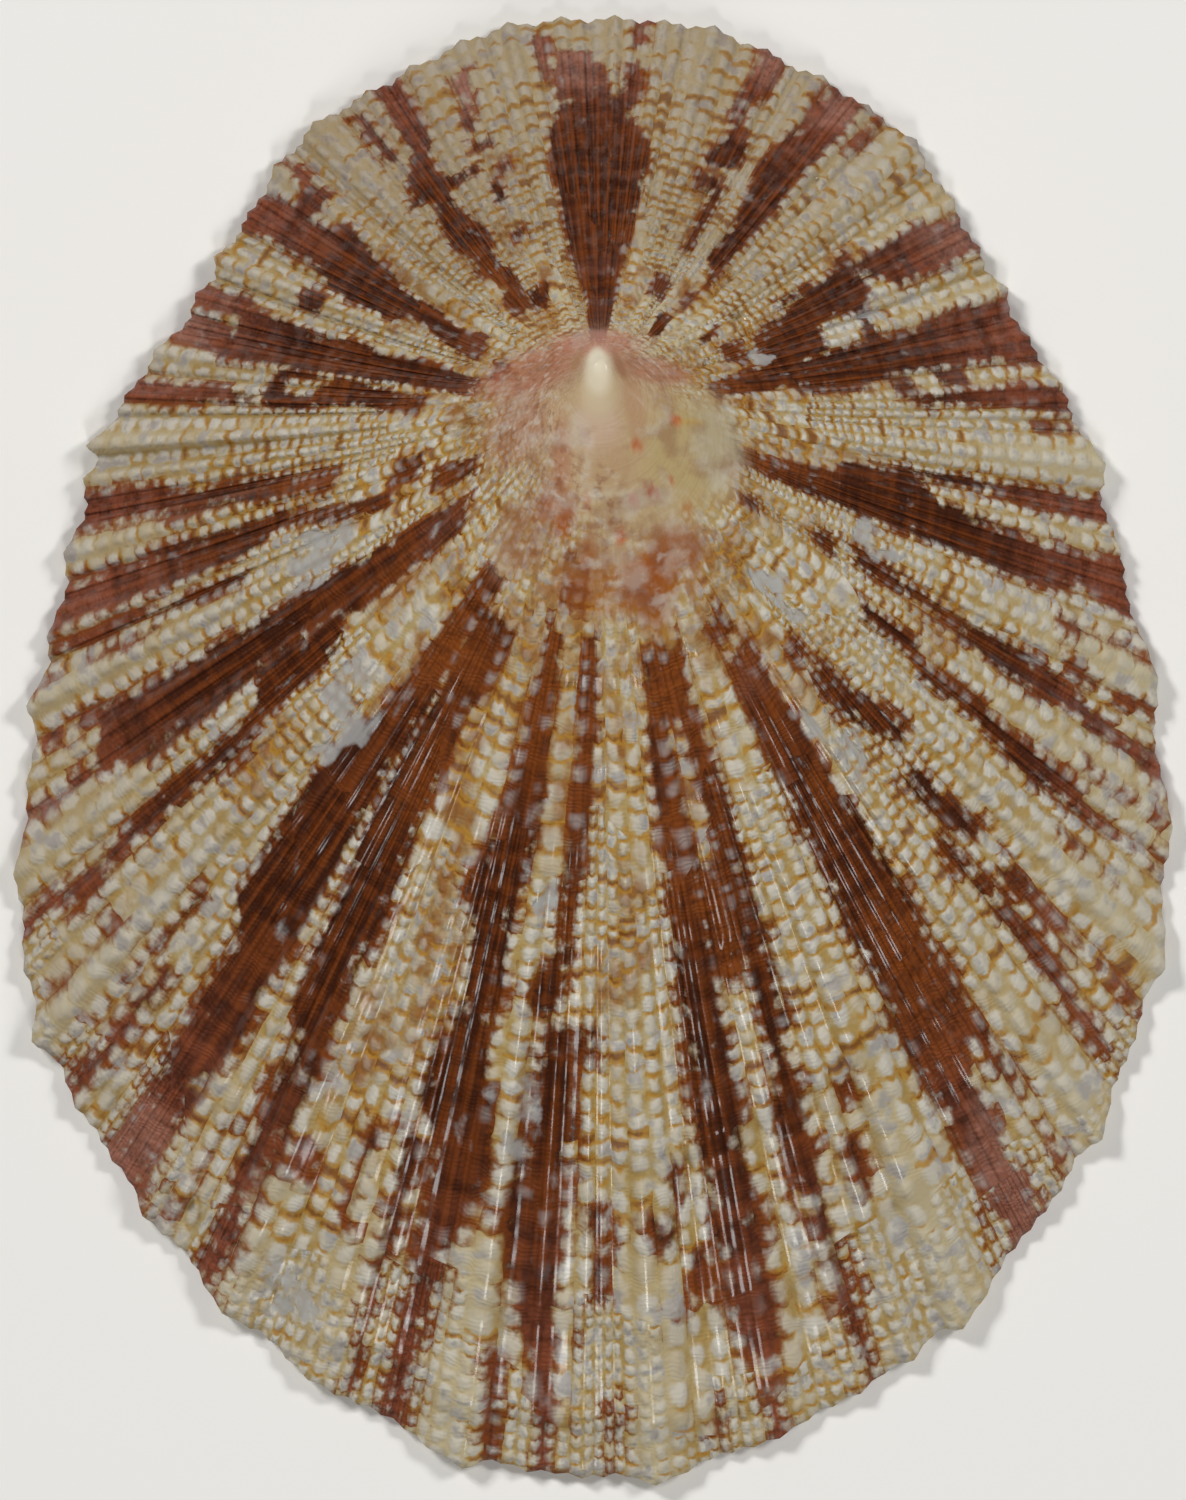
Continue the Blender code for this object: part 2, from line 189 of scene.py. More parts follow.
    ((0.69, 321, 330), (0.73, 321, 327), (0.77, 324, 328.4), (0.8, 325.4, 329.6), (0.9, 326, 329.6),
     (1.01, 326, 330.4)),
    ((0.8, 320.6, 323.4), (0.95, 320.8, 323)), ((0.585, 335, 338.4), (0.635, 335, 338)),
    ((0.645, 338, 341.6), (0.67, 338, 341)), ((0.48, 335, 339), (0.505, 335, 339)),
    ((0.72, 335.4, 339.4), (0.75, 335.6, 339)), ((0.775, 335, 337), (0.86, 337, 339), (0.92, 336.4, 340)),
    ((0.3, 330, 336), (0.36, 331, 341)), ((0.25, 292, 303), (0.28, 290, 300)),
)


class Tint(Enum):
    """What a patch does to the colour."""

    WORN = "worn"
    WHITE = "white"
    RUST = "rust"
    MAUVE = "mauve"
    GLAZE = "glaze"
    PINK = "pink"


# Listed patches: angle, growth, half width in degrees, half length in growth.
PATCHES: dict[Tint, tuple[tuple[float, float, float, float], ...]] = {
    Tint.WORN: (
        (69.5, 0.7, 2.8, 0.034), (68, 0.405, 3.4, 0.03), (113.5, 0.49, 3.4, 0.04), (144, 0.465, 2.2, 0.07),
        (133.5, 0.31, 3.6, 0.045), (187, 0.455, 2, 0.034), (187, 0.665, 2.2, 0.04), (199.5, 0.935, 4, 0.04),
        (222, 0.44, 4.4, 0.045), (219.5, 0.48, 3, 0.05), (245, 0.485, 5.2, 0.07), (182, 0.735, 1, 0.04),
    ),
    Tint.WHITE: (
        (32, 0.43, 5.5, 0.034), (69.5, 0.62, 3.6, 0.055), (232, 0.61, 2.2, 0.045), (54, 0.36, 5, 0.02),
        (30.5, 0.68, 2.6, 0.03), (322.5, 0.4, 2.2, 0.03),
    ),
    Tint.RUST: (
        (104.5, 0.3, 4, 0.025), (147.5, 0.485, 3.2, 0.045), (166, 0.51, 2.6, 0.07), (257.5, 0.55, 3, 0.06),
        (324, 0.45, 4.5, 0.06), (277, 0.57, 2.8, 0.045), (76, 0.31, 5, 0.035), (64, 0.365, 6, 0.025),
        (149.5, 0.7, 4.5, 0.11), (205, 0.42, 4, 0.06), (183, 0.26, 4, 0.07), (191.5, 0.26, 4, 0.07),
        (164, 0.27, 7, 0.06), (150, 0.29, 4, 0.05), (214, 0.3, 4, 0.07), (221, 0.52, 3, 0.07), (181, 0.45, 3, 0.06),
        (171, 0.42, 3, 0.06),
    ),
    Tint.MAUVE: (
        (3, 0.24, 8, 0.05), (0, 0.37, 11, 0.03), (150, 0.33, 3, 0.03), (199, 0.33, 3, 0.03), (235.5, 0.26, 6, 0.045),
        (285, 0.34, 6, 0.05), (302, 0.34, 7, 0.04), (24.5, 0.355, 5, 0.03), (36, 0.355, 3, 0.03),
    ),
    Tint.GLAZE: (
        (152, 0.27, 6, 0.045), (165, 0.25, 7, 0.04), (162.5, 0.35, 4, 0.06), (168, 0.37, 4, 0.08),
        (163.5, 0.46, 3, 0.07), (176.5, 0.31, 2, 0.05), (184, 0.25, 5, 0.07), (182.5, 0.35, 3.5, 0.07),
        (189.5, 0.165, 9, 0.035), (192, 0.29, 4.5, 0.09), (187, 0.35, 2.2, 0.06), (197, 0.22, 8, 0.035),
        (206, 0.29, 7, 0.07), (200.5, 0.35, 3, 0.05), (199, 0.44, 3, 0.08), (214, 0.26, 7, 0.04), (217, 0.36, 4, 0.06),
        (224, 0.26, 9, 0.022), (231, 0.33, 6, 0.06), (236, 0.25, 7, 0.04), (247, 0.265, 8, 0.035),
        (252, 0.345, 4, 0.03), (257, 0.37, 5, 0.04), (250, 0.45, 3.5, 0.06), (256, 0.53, 5, 0.06),
        (267, 0.25, 10, 0.03), (274, 0.29, 9, 0.035), (276, 0.39, 5, 0.06), (285, 0.275, 10, 0.04),
        (293, 0.34, 6, 0.04), (297, 0.26, 9, 0.04), (301, 0.35, 9, 0.06), (307, 0.43, 4, 0.06), (307.5, 0.6, 2.5, 0.08),
        (297, 0.51, 3, 0.06), (324, 0.35, 7, 0.06), (322, 0.48, 4, 0.07), (333, 0.28, 8, 0.045), (338, 0.365, 7, 0.025),
        (333, 0.5, 3, 0.06), (340, 0.66, 4, 0.05), (352, 0.34, 5, 0.08), (8, 0.4, 4, 0.12), (14, 0.3, 6, 0.05),
        (22, 0.36, 7, 0.035), (25, 0.5, 3, 0.06), (21.5, 0.62, 3, 0.05), (35, 0.36, 6, 0.06), (41, 0.43, 2, 0.08),
        (60, 0.25, 12, 0.035), (57, 0.34, 6, 0.04), (66, 0.35, 7, 0.05), (62, 0.44, 6, 0.06), (70, 0.36, 6, 0.06),
        (77, 0.28, 7, 0.035), (83, 0.34, 4, 0.06), (82, 0.52, 2.5, 0.12), (84, 0.67, 4, 0.035), (56, 0.69, 3.5, 0.04),
        (104, 0.28, 7, 0.045), (98.5, 0.42, 3, 0.15), (103, 0.37, 6, 0.07), (118, 0.29, 6, 0.045),
        (118, 0.39, 3.5, 0.04), (138, 0.24, 8, 0.035), (138, 0.39, 5, 0.05), (147, 0.32, 5, 0.08), (143, 0.37, 3, 0.05),
        (127, 0.59, 3, 0.06), (120, 0.6, 3, 0.08), (183.7, 0.735, 1.3, 0.035), (197, 0.56, 3.5, 0.11),
        (201, 0.68, 3, 0.06), (177, 0.48, 2.5, 0.08), (225, 0.57, 4, 0.06),
    ),
    Tint.PINK: (
        (60, 0.95, 6, 0.07), (357, 0.9, 7, 0.09), (150.5, 0.94, 4.5, 0.11), (128.5, 0.95, 2, 0.08),
        (137.5, 0.9, 3, 0.11), (213, 0.96, 3.5, 0.06), (235, 0.96, 3, 0.06), (36.5, 0.96, 3, 0.07),
        (284, 0.95, 4, 0.06), (338, 0.87, 3, 0.08), (25.5, 0.96, 3, 0.06),
    ),
}

# Pits broken into the outside: angle, growth, half width in degrees, half length in growth, depth.
PITS: tuple[tuple[float, float, float, float, float], ...] = (
    (55.5, 0.405, 4.2, 0.022, 0.45), (41.4, 0.765, 1.6, 0.036, 0.3), (49, 0.78, 1.1, 0.012, 0.25),
    (166.4, 0.546, 0.8, 0.01, 0.25), (199.5, 0.935, 3.6, 0.034, 0.22),
)

# Marks on the crown, laid one over the other: colour, middle in photograph pixels, half width and half length in
# pixels, turn clockwise in degrees, strength.
CROWN_MARKS: tuple[tuple[str, float, float, float, float, float, float], ...] = (
    ("BE9A7A", 590, 425, 96, 90, 0, 0.45), ("B49A76", 615, 445, 84, 84, 0, 0.85),
    ("A0604A", 532, 378, 62, 24, -20, 0.7), ("A86A58", 598, 350, 50, 15, 0, 0.7),
    ("A06450", 650, 376, 46, 14, 12, 0.65), ("9A6650", 518, 432, 30, 44, 30, 0.6),
    ("96520E", 614, 588, 72, 36, 0, 0.66), ("94664A", 524, 540, 30, 52, 25, 0.6), ("9A7048", 585, 560, 40, 24, 0, 0.5),
    ("AE9A6C", 688, 462, 56, 68, 0, 0.9), ("A89E86", 716, 450, 26, 52, -10, 0.6), ("B09872", 632, 520, 62, 42, 0, 0.8),
    ("A46A50", 562, 462, 11, 44, 0, 0.6), ("A67C5C", 634, 412, 11, 50, -10, 0.5), ("C6AC98", 598, 432, 24, 32, 0, 0.6),
    ("A98A66", 612, 470, 26, 26, 0, 0.5), ("9A4E36", 548, 506, 11, 24, 12, 0.55), ("964416", 565, 520, 13, 26, 8, 0.75),
    ("8E4E20", 676, 552, 34, 26, 0, 0.9), ("964C0C", 652, 576, 28, 22, 30, 0.85), ("96603C", 694, 584, 12, 15, 0, 0.5),
    # The two thin brown marks beside the tip's nub, middles 619, 372 and 577, 366, are painted shade on its steep
    # sides.
    ("8E6040", 619, 372, 5, 18, -22, 0.7), ("96704A", 577, 366, 5, 14, 24, 0.6), ("C8B594", 598, 402, 19, 24, 0, 0.75),
    ("D4C8AE", 598, 379, 15, 25, 0, 0.95), ("D9CFB8", 597, 368, 9, 14, 0, 0.8), ("B34E1C", 674, 426, 7, 6, 0, 0.8),
    ("B2521E", 636, 451, 6, 6, 0, 0.75), ("A8402A", 651, 496, 9, 5, 25, 0.8), ("B04818", 633, 504, 5, 8, -30, 0.85),
    ("B25030", 620, 540, 7, 7, 0, 0.75), ("A85A1E", 587, 505, 5, 11, 0, 0.65), ("B2521E", 670, 485, 4, 4, 0, 0.6),
    ("8E4A0E", 652, 604, 22, 34, -12, 0.8), ("B08A3C", 668, 640, 8, 14, -10, 0.6), ("8C4A12", 634, 590, 20, 20, 0, 0.7),
    ("945020", 588, 556, 9, 24, 6, 0.6), ("B8933E", 690, 428, 14, 4, 0, 0.5), ("A4621E", 686, 512, 8, 6, -30, 0.55),
)

# Noise in the outer finish, counted in riblets across and beads along: name, scale across, scale along, detail.
# A riblet is 0.5 to 1.2 mm wide, and a bead is about as long.
NOISES: tuple[tuple[str, float, float, float], ...] = (
    ("fine", 3.1, 3.1, 3), ("cloud", 0.8, 0.8, 3), ("zone", 0.11, 0.09, 1), ("wander", 0.42, 0.3, 1),
    ("rings", 0.75, 0.5, 3), ("streaks", 2, 0.16, 3), ("bands", 0.12, 1.1, 3), ("wear", 0.7, 0.45, 4),
    ("threads", 0.06, 3, 2), ("film", 1.3, 0.9, 2),
)


def smooth_step(low: float, high: float, value: Floats) -> Floats:
    """Rises smoothly from 0 to 1.

    Args:
        low: Value where the rise starts.
        high: Value where the rise ends.
        value: Values to rise over.

    Returns:
        Shares from 0 to 1.
    """
    share = np.clip((value - low) / (high - low), 0.0, 1.0)
    return share * share * (3.0 - 2.0 * share)


def wrapped(angle: Floats) -> Floats:
    """The same angles between -180 and 180 degrees."""
    return (angle + 180.0) % 360.0 - 180.0


def linear(colour: str) -> tuple[float, float, float, float]:
    """Turns an sRGB hex colour linear.

    Args:
        colour: Six hex digits.

    Returns:
        Linear red, green, blue, and an alpha of 1.
    """
    parts = [int(colour[start : start + 2], 16) / 255.0 for start in (0, 2, 4)]
    red, green, blue = (p / 12.92 if p <= 0.04045 else ((p + 0.055) / 1.055) ** 2.4 for p in parts)
    return red, green, blue, 1.0


@dataclass(frozen=True)
class Wander:
    """A smooth random field over angle and growth, the same on every run."""

    seed: int
    around: int
    along: int

    def at(self, angle: Floats, growth: Floats) -> Floats:
        """Reads the field.

        Args:
            angle: Angles in degrees.
            growth: Growth from 0 to 1.

        Returns:
            Values from -1 to 1.
        """
        lattice = np.random.default_rng(self.seed).uniform(-1.0, 1.0, (self.along + 2, self.around))
        across = (angle % 360.0) / 360.0 * self.around
        down = np.clip(growth, 0.0, 1.0) * self.along
        column, line = np.floor(across).astype(int), np.floor(down).astype(int)
        side, low = smooth_step(0.0, 1.0, across - column), smooth_step(0.0, 1.0, down - line)
        column, after = column % self.around, (column + 1) % self.around
        upper = lattice[line, column] * (1.0 - side) + lattice[line, after] * side
        lower = lattice[line + 1, column] * (1.0 - side) + lattice[line + 1, after] * side
        return upper * (1.0 - low) + lower * low


@dataclass(frozen=True)
class Oval:
    """A soft-edged oval in plan, in millimetres."""

    middle: tuple[float, float]
    squeeze: float
    inner: float
    outer: float

    def beyond(self, x: Floats, y: Floats) -> Floats:
        """Share from 0 inside the oval to 1 outside it.

        Args:
            x: X in millimetres.
            y: Y in millimetres.

        Returns:
            Shares from 0 to 1.
        """
        return smooth_step(self.inner, self.outer, np.hypot(x - self.middle[0], (y - self.middle[1]) * self.squeeze))


@dataclass(frozen=True)
class LimpetForm:
    """The limpet's form: the CAD part's own curves, with riblets, growth lines and pits added."""

    height: float
    rib_centre: tuple[float, float] = (0.24, 15.5)
    beak_tip: tuple[float, float] = (0.24, 18.3)
    inner_tip: tuple[float, float] = (0.24, 16.7)
    beak_reach: float = 0.17
    crown_wall: float = 2.3
    rim_edge: float = 0.5
    rim_inset: float = 0.85
    arch_mean: float = 1.29
    arch_swing: float = 0.13
    inner_arch: float = 1.02
    rib_rise: float = 0.55
    rib_window: tuple[float, float] = (0.18, 0.75)
    rib_scallop: float = 0.65
    mean_scallop: float = 0.35
    riblet_mean: float = 1.95
    riblet_swing: float = 0.45
    crest_width: float = 0.45
    riblet_rise: float = 0.14
    riblet_window: tuple[float, float] = (0.20, 0.62)
    riblet_scallop: float = 0.16
    nub_rise: float = 0.35
    nub_width: float = 0.75
    nub_start: tuple[float, float] = (-3.4, -1.2)
    nub_end: tuple[float, float] = (-0.4, 0.5)
    growth_bulge: float = 0.006
    growth_swing: float = 0.004
    growth_wander: float = 0.004
    line_relief: float = 0.05
    ledge_fade: float = 0.06
    ledge_wander: float = 0.008
    ledge_taper: float = 6.0
    inner_rise: float = 0.175
    inner_relief: float = 0.03

    def riblet_angles(self) -> Floats:
        """Shares the riblet crests out evenly between neighbouring ribs, over one closed turn.

        Returns:
            Angles in degrees.
        """
        ribs = RIBS + ((RIBS[0][0] + 360.0, RIBS[0][1]),)
        crests: list[float] = []
        for (start, strong), (end, next_strong) in zip(ribs, ribs[1:]):
            spacing = self.riblet_mean + self.riblet_swing * math.cos(math.radians(start))
            gaps = np.ones(max(1, round((end - start) / spacing)))
            gaps[0] += self.crest_width * strong
            gaps[-1] += self.crest_width * next_strong
            places = np.concatenate(([0.0], np.cumsum(gaps)[:-1])) / gaps.sum()
            crests += list(start + (end - start) * places)
        return np.array(crests + [ribs[-1][0]])

    def outline(self, angle: Floats) -> Floats:
        """Reach of the rim's valley line from the rib centre, by a closed Catmull-Rom curve.

        Args:
            angle: Angles in degrees.

        Returns:
            Reach in millimetres.
        """
        reach = np.array(OUTLINE_REACH)
        place = (angle % 360.0) / (360.0 / len(reach))
        first = np.floor(place).astype(int)
        share = place - first
        before, start, end, after = (reach[(first + step) % len(reach)] for step in (-1, 0, 1, 2))
        return 0.5 * (
            2.0 * start
            + (end - before) * share
            + (2.0 * before - 5.0 * start + 4.0 * end - after) * share**2
            + (3.0 * start - before - 3.0 * end + after) * share**3
        )

    def ribs(self, angle: Floats) -> tuple[Floats, Floats]:
        """Reads the ribs.

        Args:
            angle: Angles in degrees.

        Returns:
            Wave from 0 in a valley to 1 on a crest, and strength of the rib.
        """
        crests = np.array([rib[0] for rib in RIBS] + [RIBS[0][0] + 360.0])
        strengths = np.array([rib[1] for rib in RIBS] + [RIBS[0][1]])
        turned = (angle - crests[0]) % 360.0 + crests[0]
        place = np.interp(turned, crests, np.arange(len(crests)))
        first = np.minimum(np.floor(place).astype(int), len(RIBS) - 1)
        blend = smooth_step(0.3, 0.7, place - first)
        strength = strengths[first] * (1.0 - blend) + strengths[first + 1] * blend
        return 0.5 + 0.5 * np.cos(2.0 * np.pi * place), strength

    def ledges(self, angle: Floats, growth: Floats) -> Floats:
        """Extra height just inside each older rim.

        Args:
            angle: Angles in degrees.
            growth: Growth from 0 to 1.

        Returns:
            Height in millimetres.
        """
        turned = angle % 360.0
        ragged = growth + self.ledge_wander * Wander(5, 60, 1).at(angle, growth)
        total = np.zeros_like(growth)
        for line, first, last, step in LEDGES:
            side = smooth_step(first - self.ledge_taper, first + self.ledge_taper, turned)
            side *= 1.0 - smooth_step(last - self.ledge_taper, last + self.ledge_taper, turned)
            side = np.ones_like(side) if last - first >= 360.0 else side
            total += np.where(ragged <= line, side * step * np.exp((ragged - line) / self.ledge_fade), 0.0)
        return total

    def pits(self, angle: Floats, growth: Floats) -> Floats:
        """Depth of the pits.

        Args:
            angle: Angles in degrees.
            growth: Growth from 0 to 1.

        Returns:
            Depth in millimetres.
        """
        depth = np.zeros_like(growth)
        for middle, line, half_width, half_length, deep in PITS:
            apart = np.hypot(wrapped(angle - middle) / half_width, (growth - line) / half_length)
            depth = np.maximum(depth, deep * (1.0 - smooth_step(0.55, 1.1, apart)))
        return depth

    def plan(self, tip: tuple[float, float], angle: Floats, growth: Floats, reach: Floats) -> tuple[Floats, Floats]:
        """Place in plan on a growth line.

        Args:
            tip: Where the lines start.
            angle: Angles in degrees.
            growth: Growth from 0 to 1.
            reach: Reach from the line's own centre in millimetres.

        Returns:
            X and Y in millimetres.
        """
        lean = np.exp(-growth / self.beak_reach) - math.exp(-1.0 / self.beak_reach)
        turn = np.radians(angle)
        x = self.rib_centre[0] + (tip[0] - self.rib_centre[0]) * lean + reach * np.sin(turn)
        y = self.rib_centre[1] + (tip[1] - self.rib_centre[1]) * lean + reach * np.cos(turn)
        return x, y

    def arch(self, angle: Floats) -> Floats:
        """Power of growth by which each side falls away."""
        return self.arch_mean - self.arch_swing * np.cos(np.radians(angle))

    def grown(self, angle: Floats, growth: Floats) -> Floats:
        """Growth with the waves of the growth lines, which bulge towards the rim on the ribs.

        Args:
            angle: Angles in degrees.
            growth: Growth of each line from 0 to 1.

        Returns:
            Growth of each point.
        """
        wave, strength = self.ribs(angle)
        window = smooth_step(0.10, 0.30, growth) * (1.0 - smooth_step(0.93, 1.0, growth))
        reach = self.growth_bulge + self.growth_swing * np.cos(np.radians(angle))
        bulge = reach * (wave - 0.5) * np.minimum(strength * 1.6, 1.2)
        return growth + window * (bulge + self.growth_wander * Wander(11, 48, 9).at(angle, growth))

    def outside(self, angle: Floats, riblet: Floats, growth: Floats) -> Floats:
        """Points of the outside.

        Args:
            angle: Angles in degrees.
            riblet: Place counted in riblets, whole on each crest.
            growth: Growth of each line from 0 to 1.

        Returns:
            One point in millimetres per row.
        """
        wave, strength = self.ribs(angle)
        crest = 0.5 + 0.5 * np.cos(2.0 * np.pi * riblet)
        grown = self.grown(angle, growth)
        scallop = self.rib_scallop * strength * wave * grown**3.0 + self.riblet_scallop * crest * grown**8.0
        x, y = self.plan(self.beak_tip, angle, grown, self.outline(angle) * grown + scallop)
        pits = self.pits(angle, grown)
        rise = self.rib_rise * np.sqrt(strength) * wave * smooth_step(*self.rib_window, grown)
        whole = 1.0 - np.clip(pits * 4.0, 0.0, 1.0)
        rise += self.riblet_rise * crest * smooth_step(*self.riblet_window, grown) * whole
        rise += self.line_relief * Wander(23, 90, 60).at(angle, growth) * smooth_step(0.05, 0.4, grown)
        rise += self.ledges(angle, grown) - pits
        aside, ahead = x - self.beak_tip[0], y - self.beak_tip[1]
        nub = smooth_step(*self.nub_start, ahead) * (1.0 - smooth_step(*self.nub_end, ahead))
        rise += self.nub_rise * np.exp(-((aside / self.nub_width) ** 2)) * nub
        dome = (self.height - self.rim_edge) * (1.0 - grown ** self.arch(angle))
        return np.column_stack((x, y, self.rim_edge + dome + rise))

    def rim(self, angle: Floats, riblet: Floats, inset: Floats, lift: Floats) -> Floats:
        """Points of the rim's edge and flat underside.

        Args:
            angle: Angles in degrees.
            riblet: Place counted in riblets.
            inset: How far in from the outer edge, in millimetres.
            lift: Share of the way up to the outer edge.

        Returns:
            One point in millimetres per row.
        """
        edge = self.outside(angle, riblet, np.ones_like(angle))
        wave, strength = self.ribs(angle)
        crest = 0.5 + 0.5 * np.cos(2.0 * np.pi * riblet)
        fade = np.clip(1.0 - inset / self.rim_inset, 0.0, 1.0)
        reach = self.outline(angle) + self.rib_scallop * strength * wave + self.riblet_scallop * crest * fade - inset
        x, y = self.plan(self.beak_tip, angle, np.ones_like(angle), reach)
        return np.column_stack((x, y, edge[:, 2] * lift))

    def inside(self, angle: Floats, growth: Floats) -> Floats:
        """Points of the smooth inside.

        Args:
            angle: Angles in degrees.
            growth: Growth from 0 to 1.

        Returns:
            One point in millimetres per row.
        """
        wave, strength = self.ribs(angle)
        reach = (self.outline(angle) - self.rim_inset) * growth + self.rib_scallop * strength * wave * growth**9.0
        x, y = self.plan(self.inner_tip, angle, growth, reach)
        rise = self.inner_rise * np.sqrt(strength) * wave * smooth_step(0.5, 1.0, growth)
        rise += self.inner_relief * Wander(31, 30, 40).at(angle, growth) * smooth_step(0.1, 0.4, growth)
        dome = (self.height - self.crown_wall) * (1.0 - growth ** (self.arch(angle) * self.inner_arch))
        return np.column_stack((x, y, dome + rise * (1.0 - smooth_step(0.97, 1.0, growth))))


@dataclass(frozen=True)
class ColourField:
    """Reads the painted strokes and patches at places in plan."""

    form: LimpetForm
    riblet_degrees: float = 2.1
    bead_growth: float = 0.021
    deepest: float = 3.0
    px: float = 0.04765
    middle: tuple[float, float] = (593.0, 750.5)

    def polar(self, x: Floats, y: Floats) -> tuple[Floats, Floats]:
        """Angle and growth about the rib centre.

        Args:
            x: X in millimetres.
            y: Y in millimetres.

        Returns:
            Angles in degrees, and growth.
        """
        across, along = x - self.form.rib_centre[0], y - self.form.rib_centre[1]
        angle = np.degrees(np.arctan2(across, along))
        return angle, np.hypot(across, along) / (self.form.outline(angle) + self.form.mean_scallop)

    def dark(self, angle: Floats, growth: Floats) -> Floats:
        """How far a place lies inside the dark strokes, counted in beads; negative outside.

        Args:
            angle: Angles in degrees.
            growth: Growth from 0 to 1.

        Returns:
            Depth in beads, up to the deepest either way.
        """
        depth = np.full_like(growth, -self.deepest)
        for stroke in STROKES:
            lines, firsts, lasts = np.array(stroke).T
            middle = np.interp(growth, lines, (firsts + lasts) / 2.0)
            half = np.interp(growth, lines, (lasts - firsts) / 2.0)
            across = (half - np.abs(wrapped(angle - middle))) / self.riblet_degrees
            along = np.minimum(growth - lines[0], lines[-1] - growth) / self.bead_growth
            depth = np.maximum(depth, np.minimum(across, along))
        return np.clip(depth, -self.deepest, self.deepest)

    def patch(self, tint: Tint, angle: Floats, growth: Floats) -> Floats:
        """Share of one tint.

        Args:
            tint: Which patches to read.
            angle: Angles in degrees.
            growth: Growth from 0 to 1.

        Returns:
            Shares from 0 to 1.
        """
        share = np.zeros_like(growth)
        for middle, line, half_width, half_length in PATCHES[tint]:
            apart = np.hypot(wrapped(angle - middle) / half_width, (growth - line) / half_length)
            share = np.maximum(share, 1.0 - smooth_step(0.6, 1.25, apart))
        return share

    def crown(self, x: Floats, y: Floats) -> Floats:
        """Colour of the marks on the crown, and how much they cover.

        Args:
            x: X in millimetres.
            y: Y in millimetres.

        Returns:
            Linear red, green, blue and cover, one row per place.
        """
        across, down = x / self.px + self.middle[0], self.middle[1] - y / self.px
        colour = np.zeros((len(x), 4))
        for tint, left, top, half_width, half_length, turn, strength in CROWN_MARKS:
            cos, sin = math.cos(math.radians(turn)), math.sin(math.radians(turn))
            side = (across - left) * cos + (down - top) * sin
            along = (down - top) * cos - (across - left) * sin
            share = strength * (1.0 - smooth_step(0.5, 1.25, np.hypot(side / half_width, along / half_length)))
            cover = share + colour[:, 3] * (1.0 - share)
            laid = share[:, None] * np.array(linear(tint)[:3])
            under = (colour[:, 3] * (1.0 - share))[:, None] * colour[:, :3]
            colour[:, :3] = (laid + under) / np.maximum(cover, 1e-6)[:, None]
            colour[:, 3] = cover
        return colour


class Board:
    """A material's node tree, with the one small function that adds a node to it."""

    def __init__(self, name: str) -> None:
        """Starts a material.

        Args:
            name: Name of the material.
        """
        self.material = bpy.data.materials.new(name)
        self.material.use_nodes = True
        self.tree = self.material.node_tree
        self.shader = self.tree.nodes["Principled BSDF"]

    def feed(self, node: bpy.types.Node, links: Links) -> None:
        """Feeds a node's inputs.

        Args:
            node: The node.
            links: For each input, in order or by name, a value or the output that feeds it.
        """
        for key, value in links.items() if isinstance(links, dict) else enumerate(links):
            if isinstance(value, Socket):
                self.tree.links.new(value, node.inputs[key])
            else:
                node.inputs[key].default_value = value

    def add(self, kind: str, links: Links, output: int | str = 0, **settings: object) -> Socket:
        """Adds one node with its settings and links.

        Args:
            kind: Node type without its ShaderNode prefix.
            links: For each input, in order or by name, a value or the output that feeds it.
            output: Output to give back.
            **settings: Attributes of the node.

        Returns:
            The output.
        """
        node = self.tree.nodes.new(f"ShaderNode{kind}")
        for name, value in settings.items():
            setattr(node, name, value)
        self.feed(node, links)
        return node.outputs[output]


@dataclass(frozen=True)
class Beads:
    """Outputs that the parts of the outer finish share: places, chances, noises and painted fields."""

    uv: Socket
    bead: Socket
    across: Socket
    along: Socket
    edge: Socket
    chance: tuple[Socket, ...]
    noise: dict[str, Socket]
    field: dict[str, Socket]


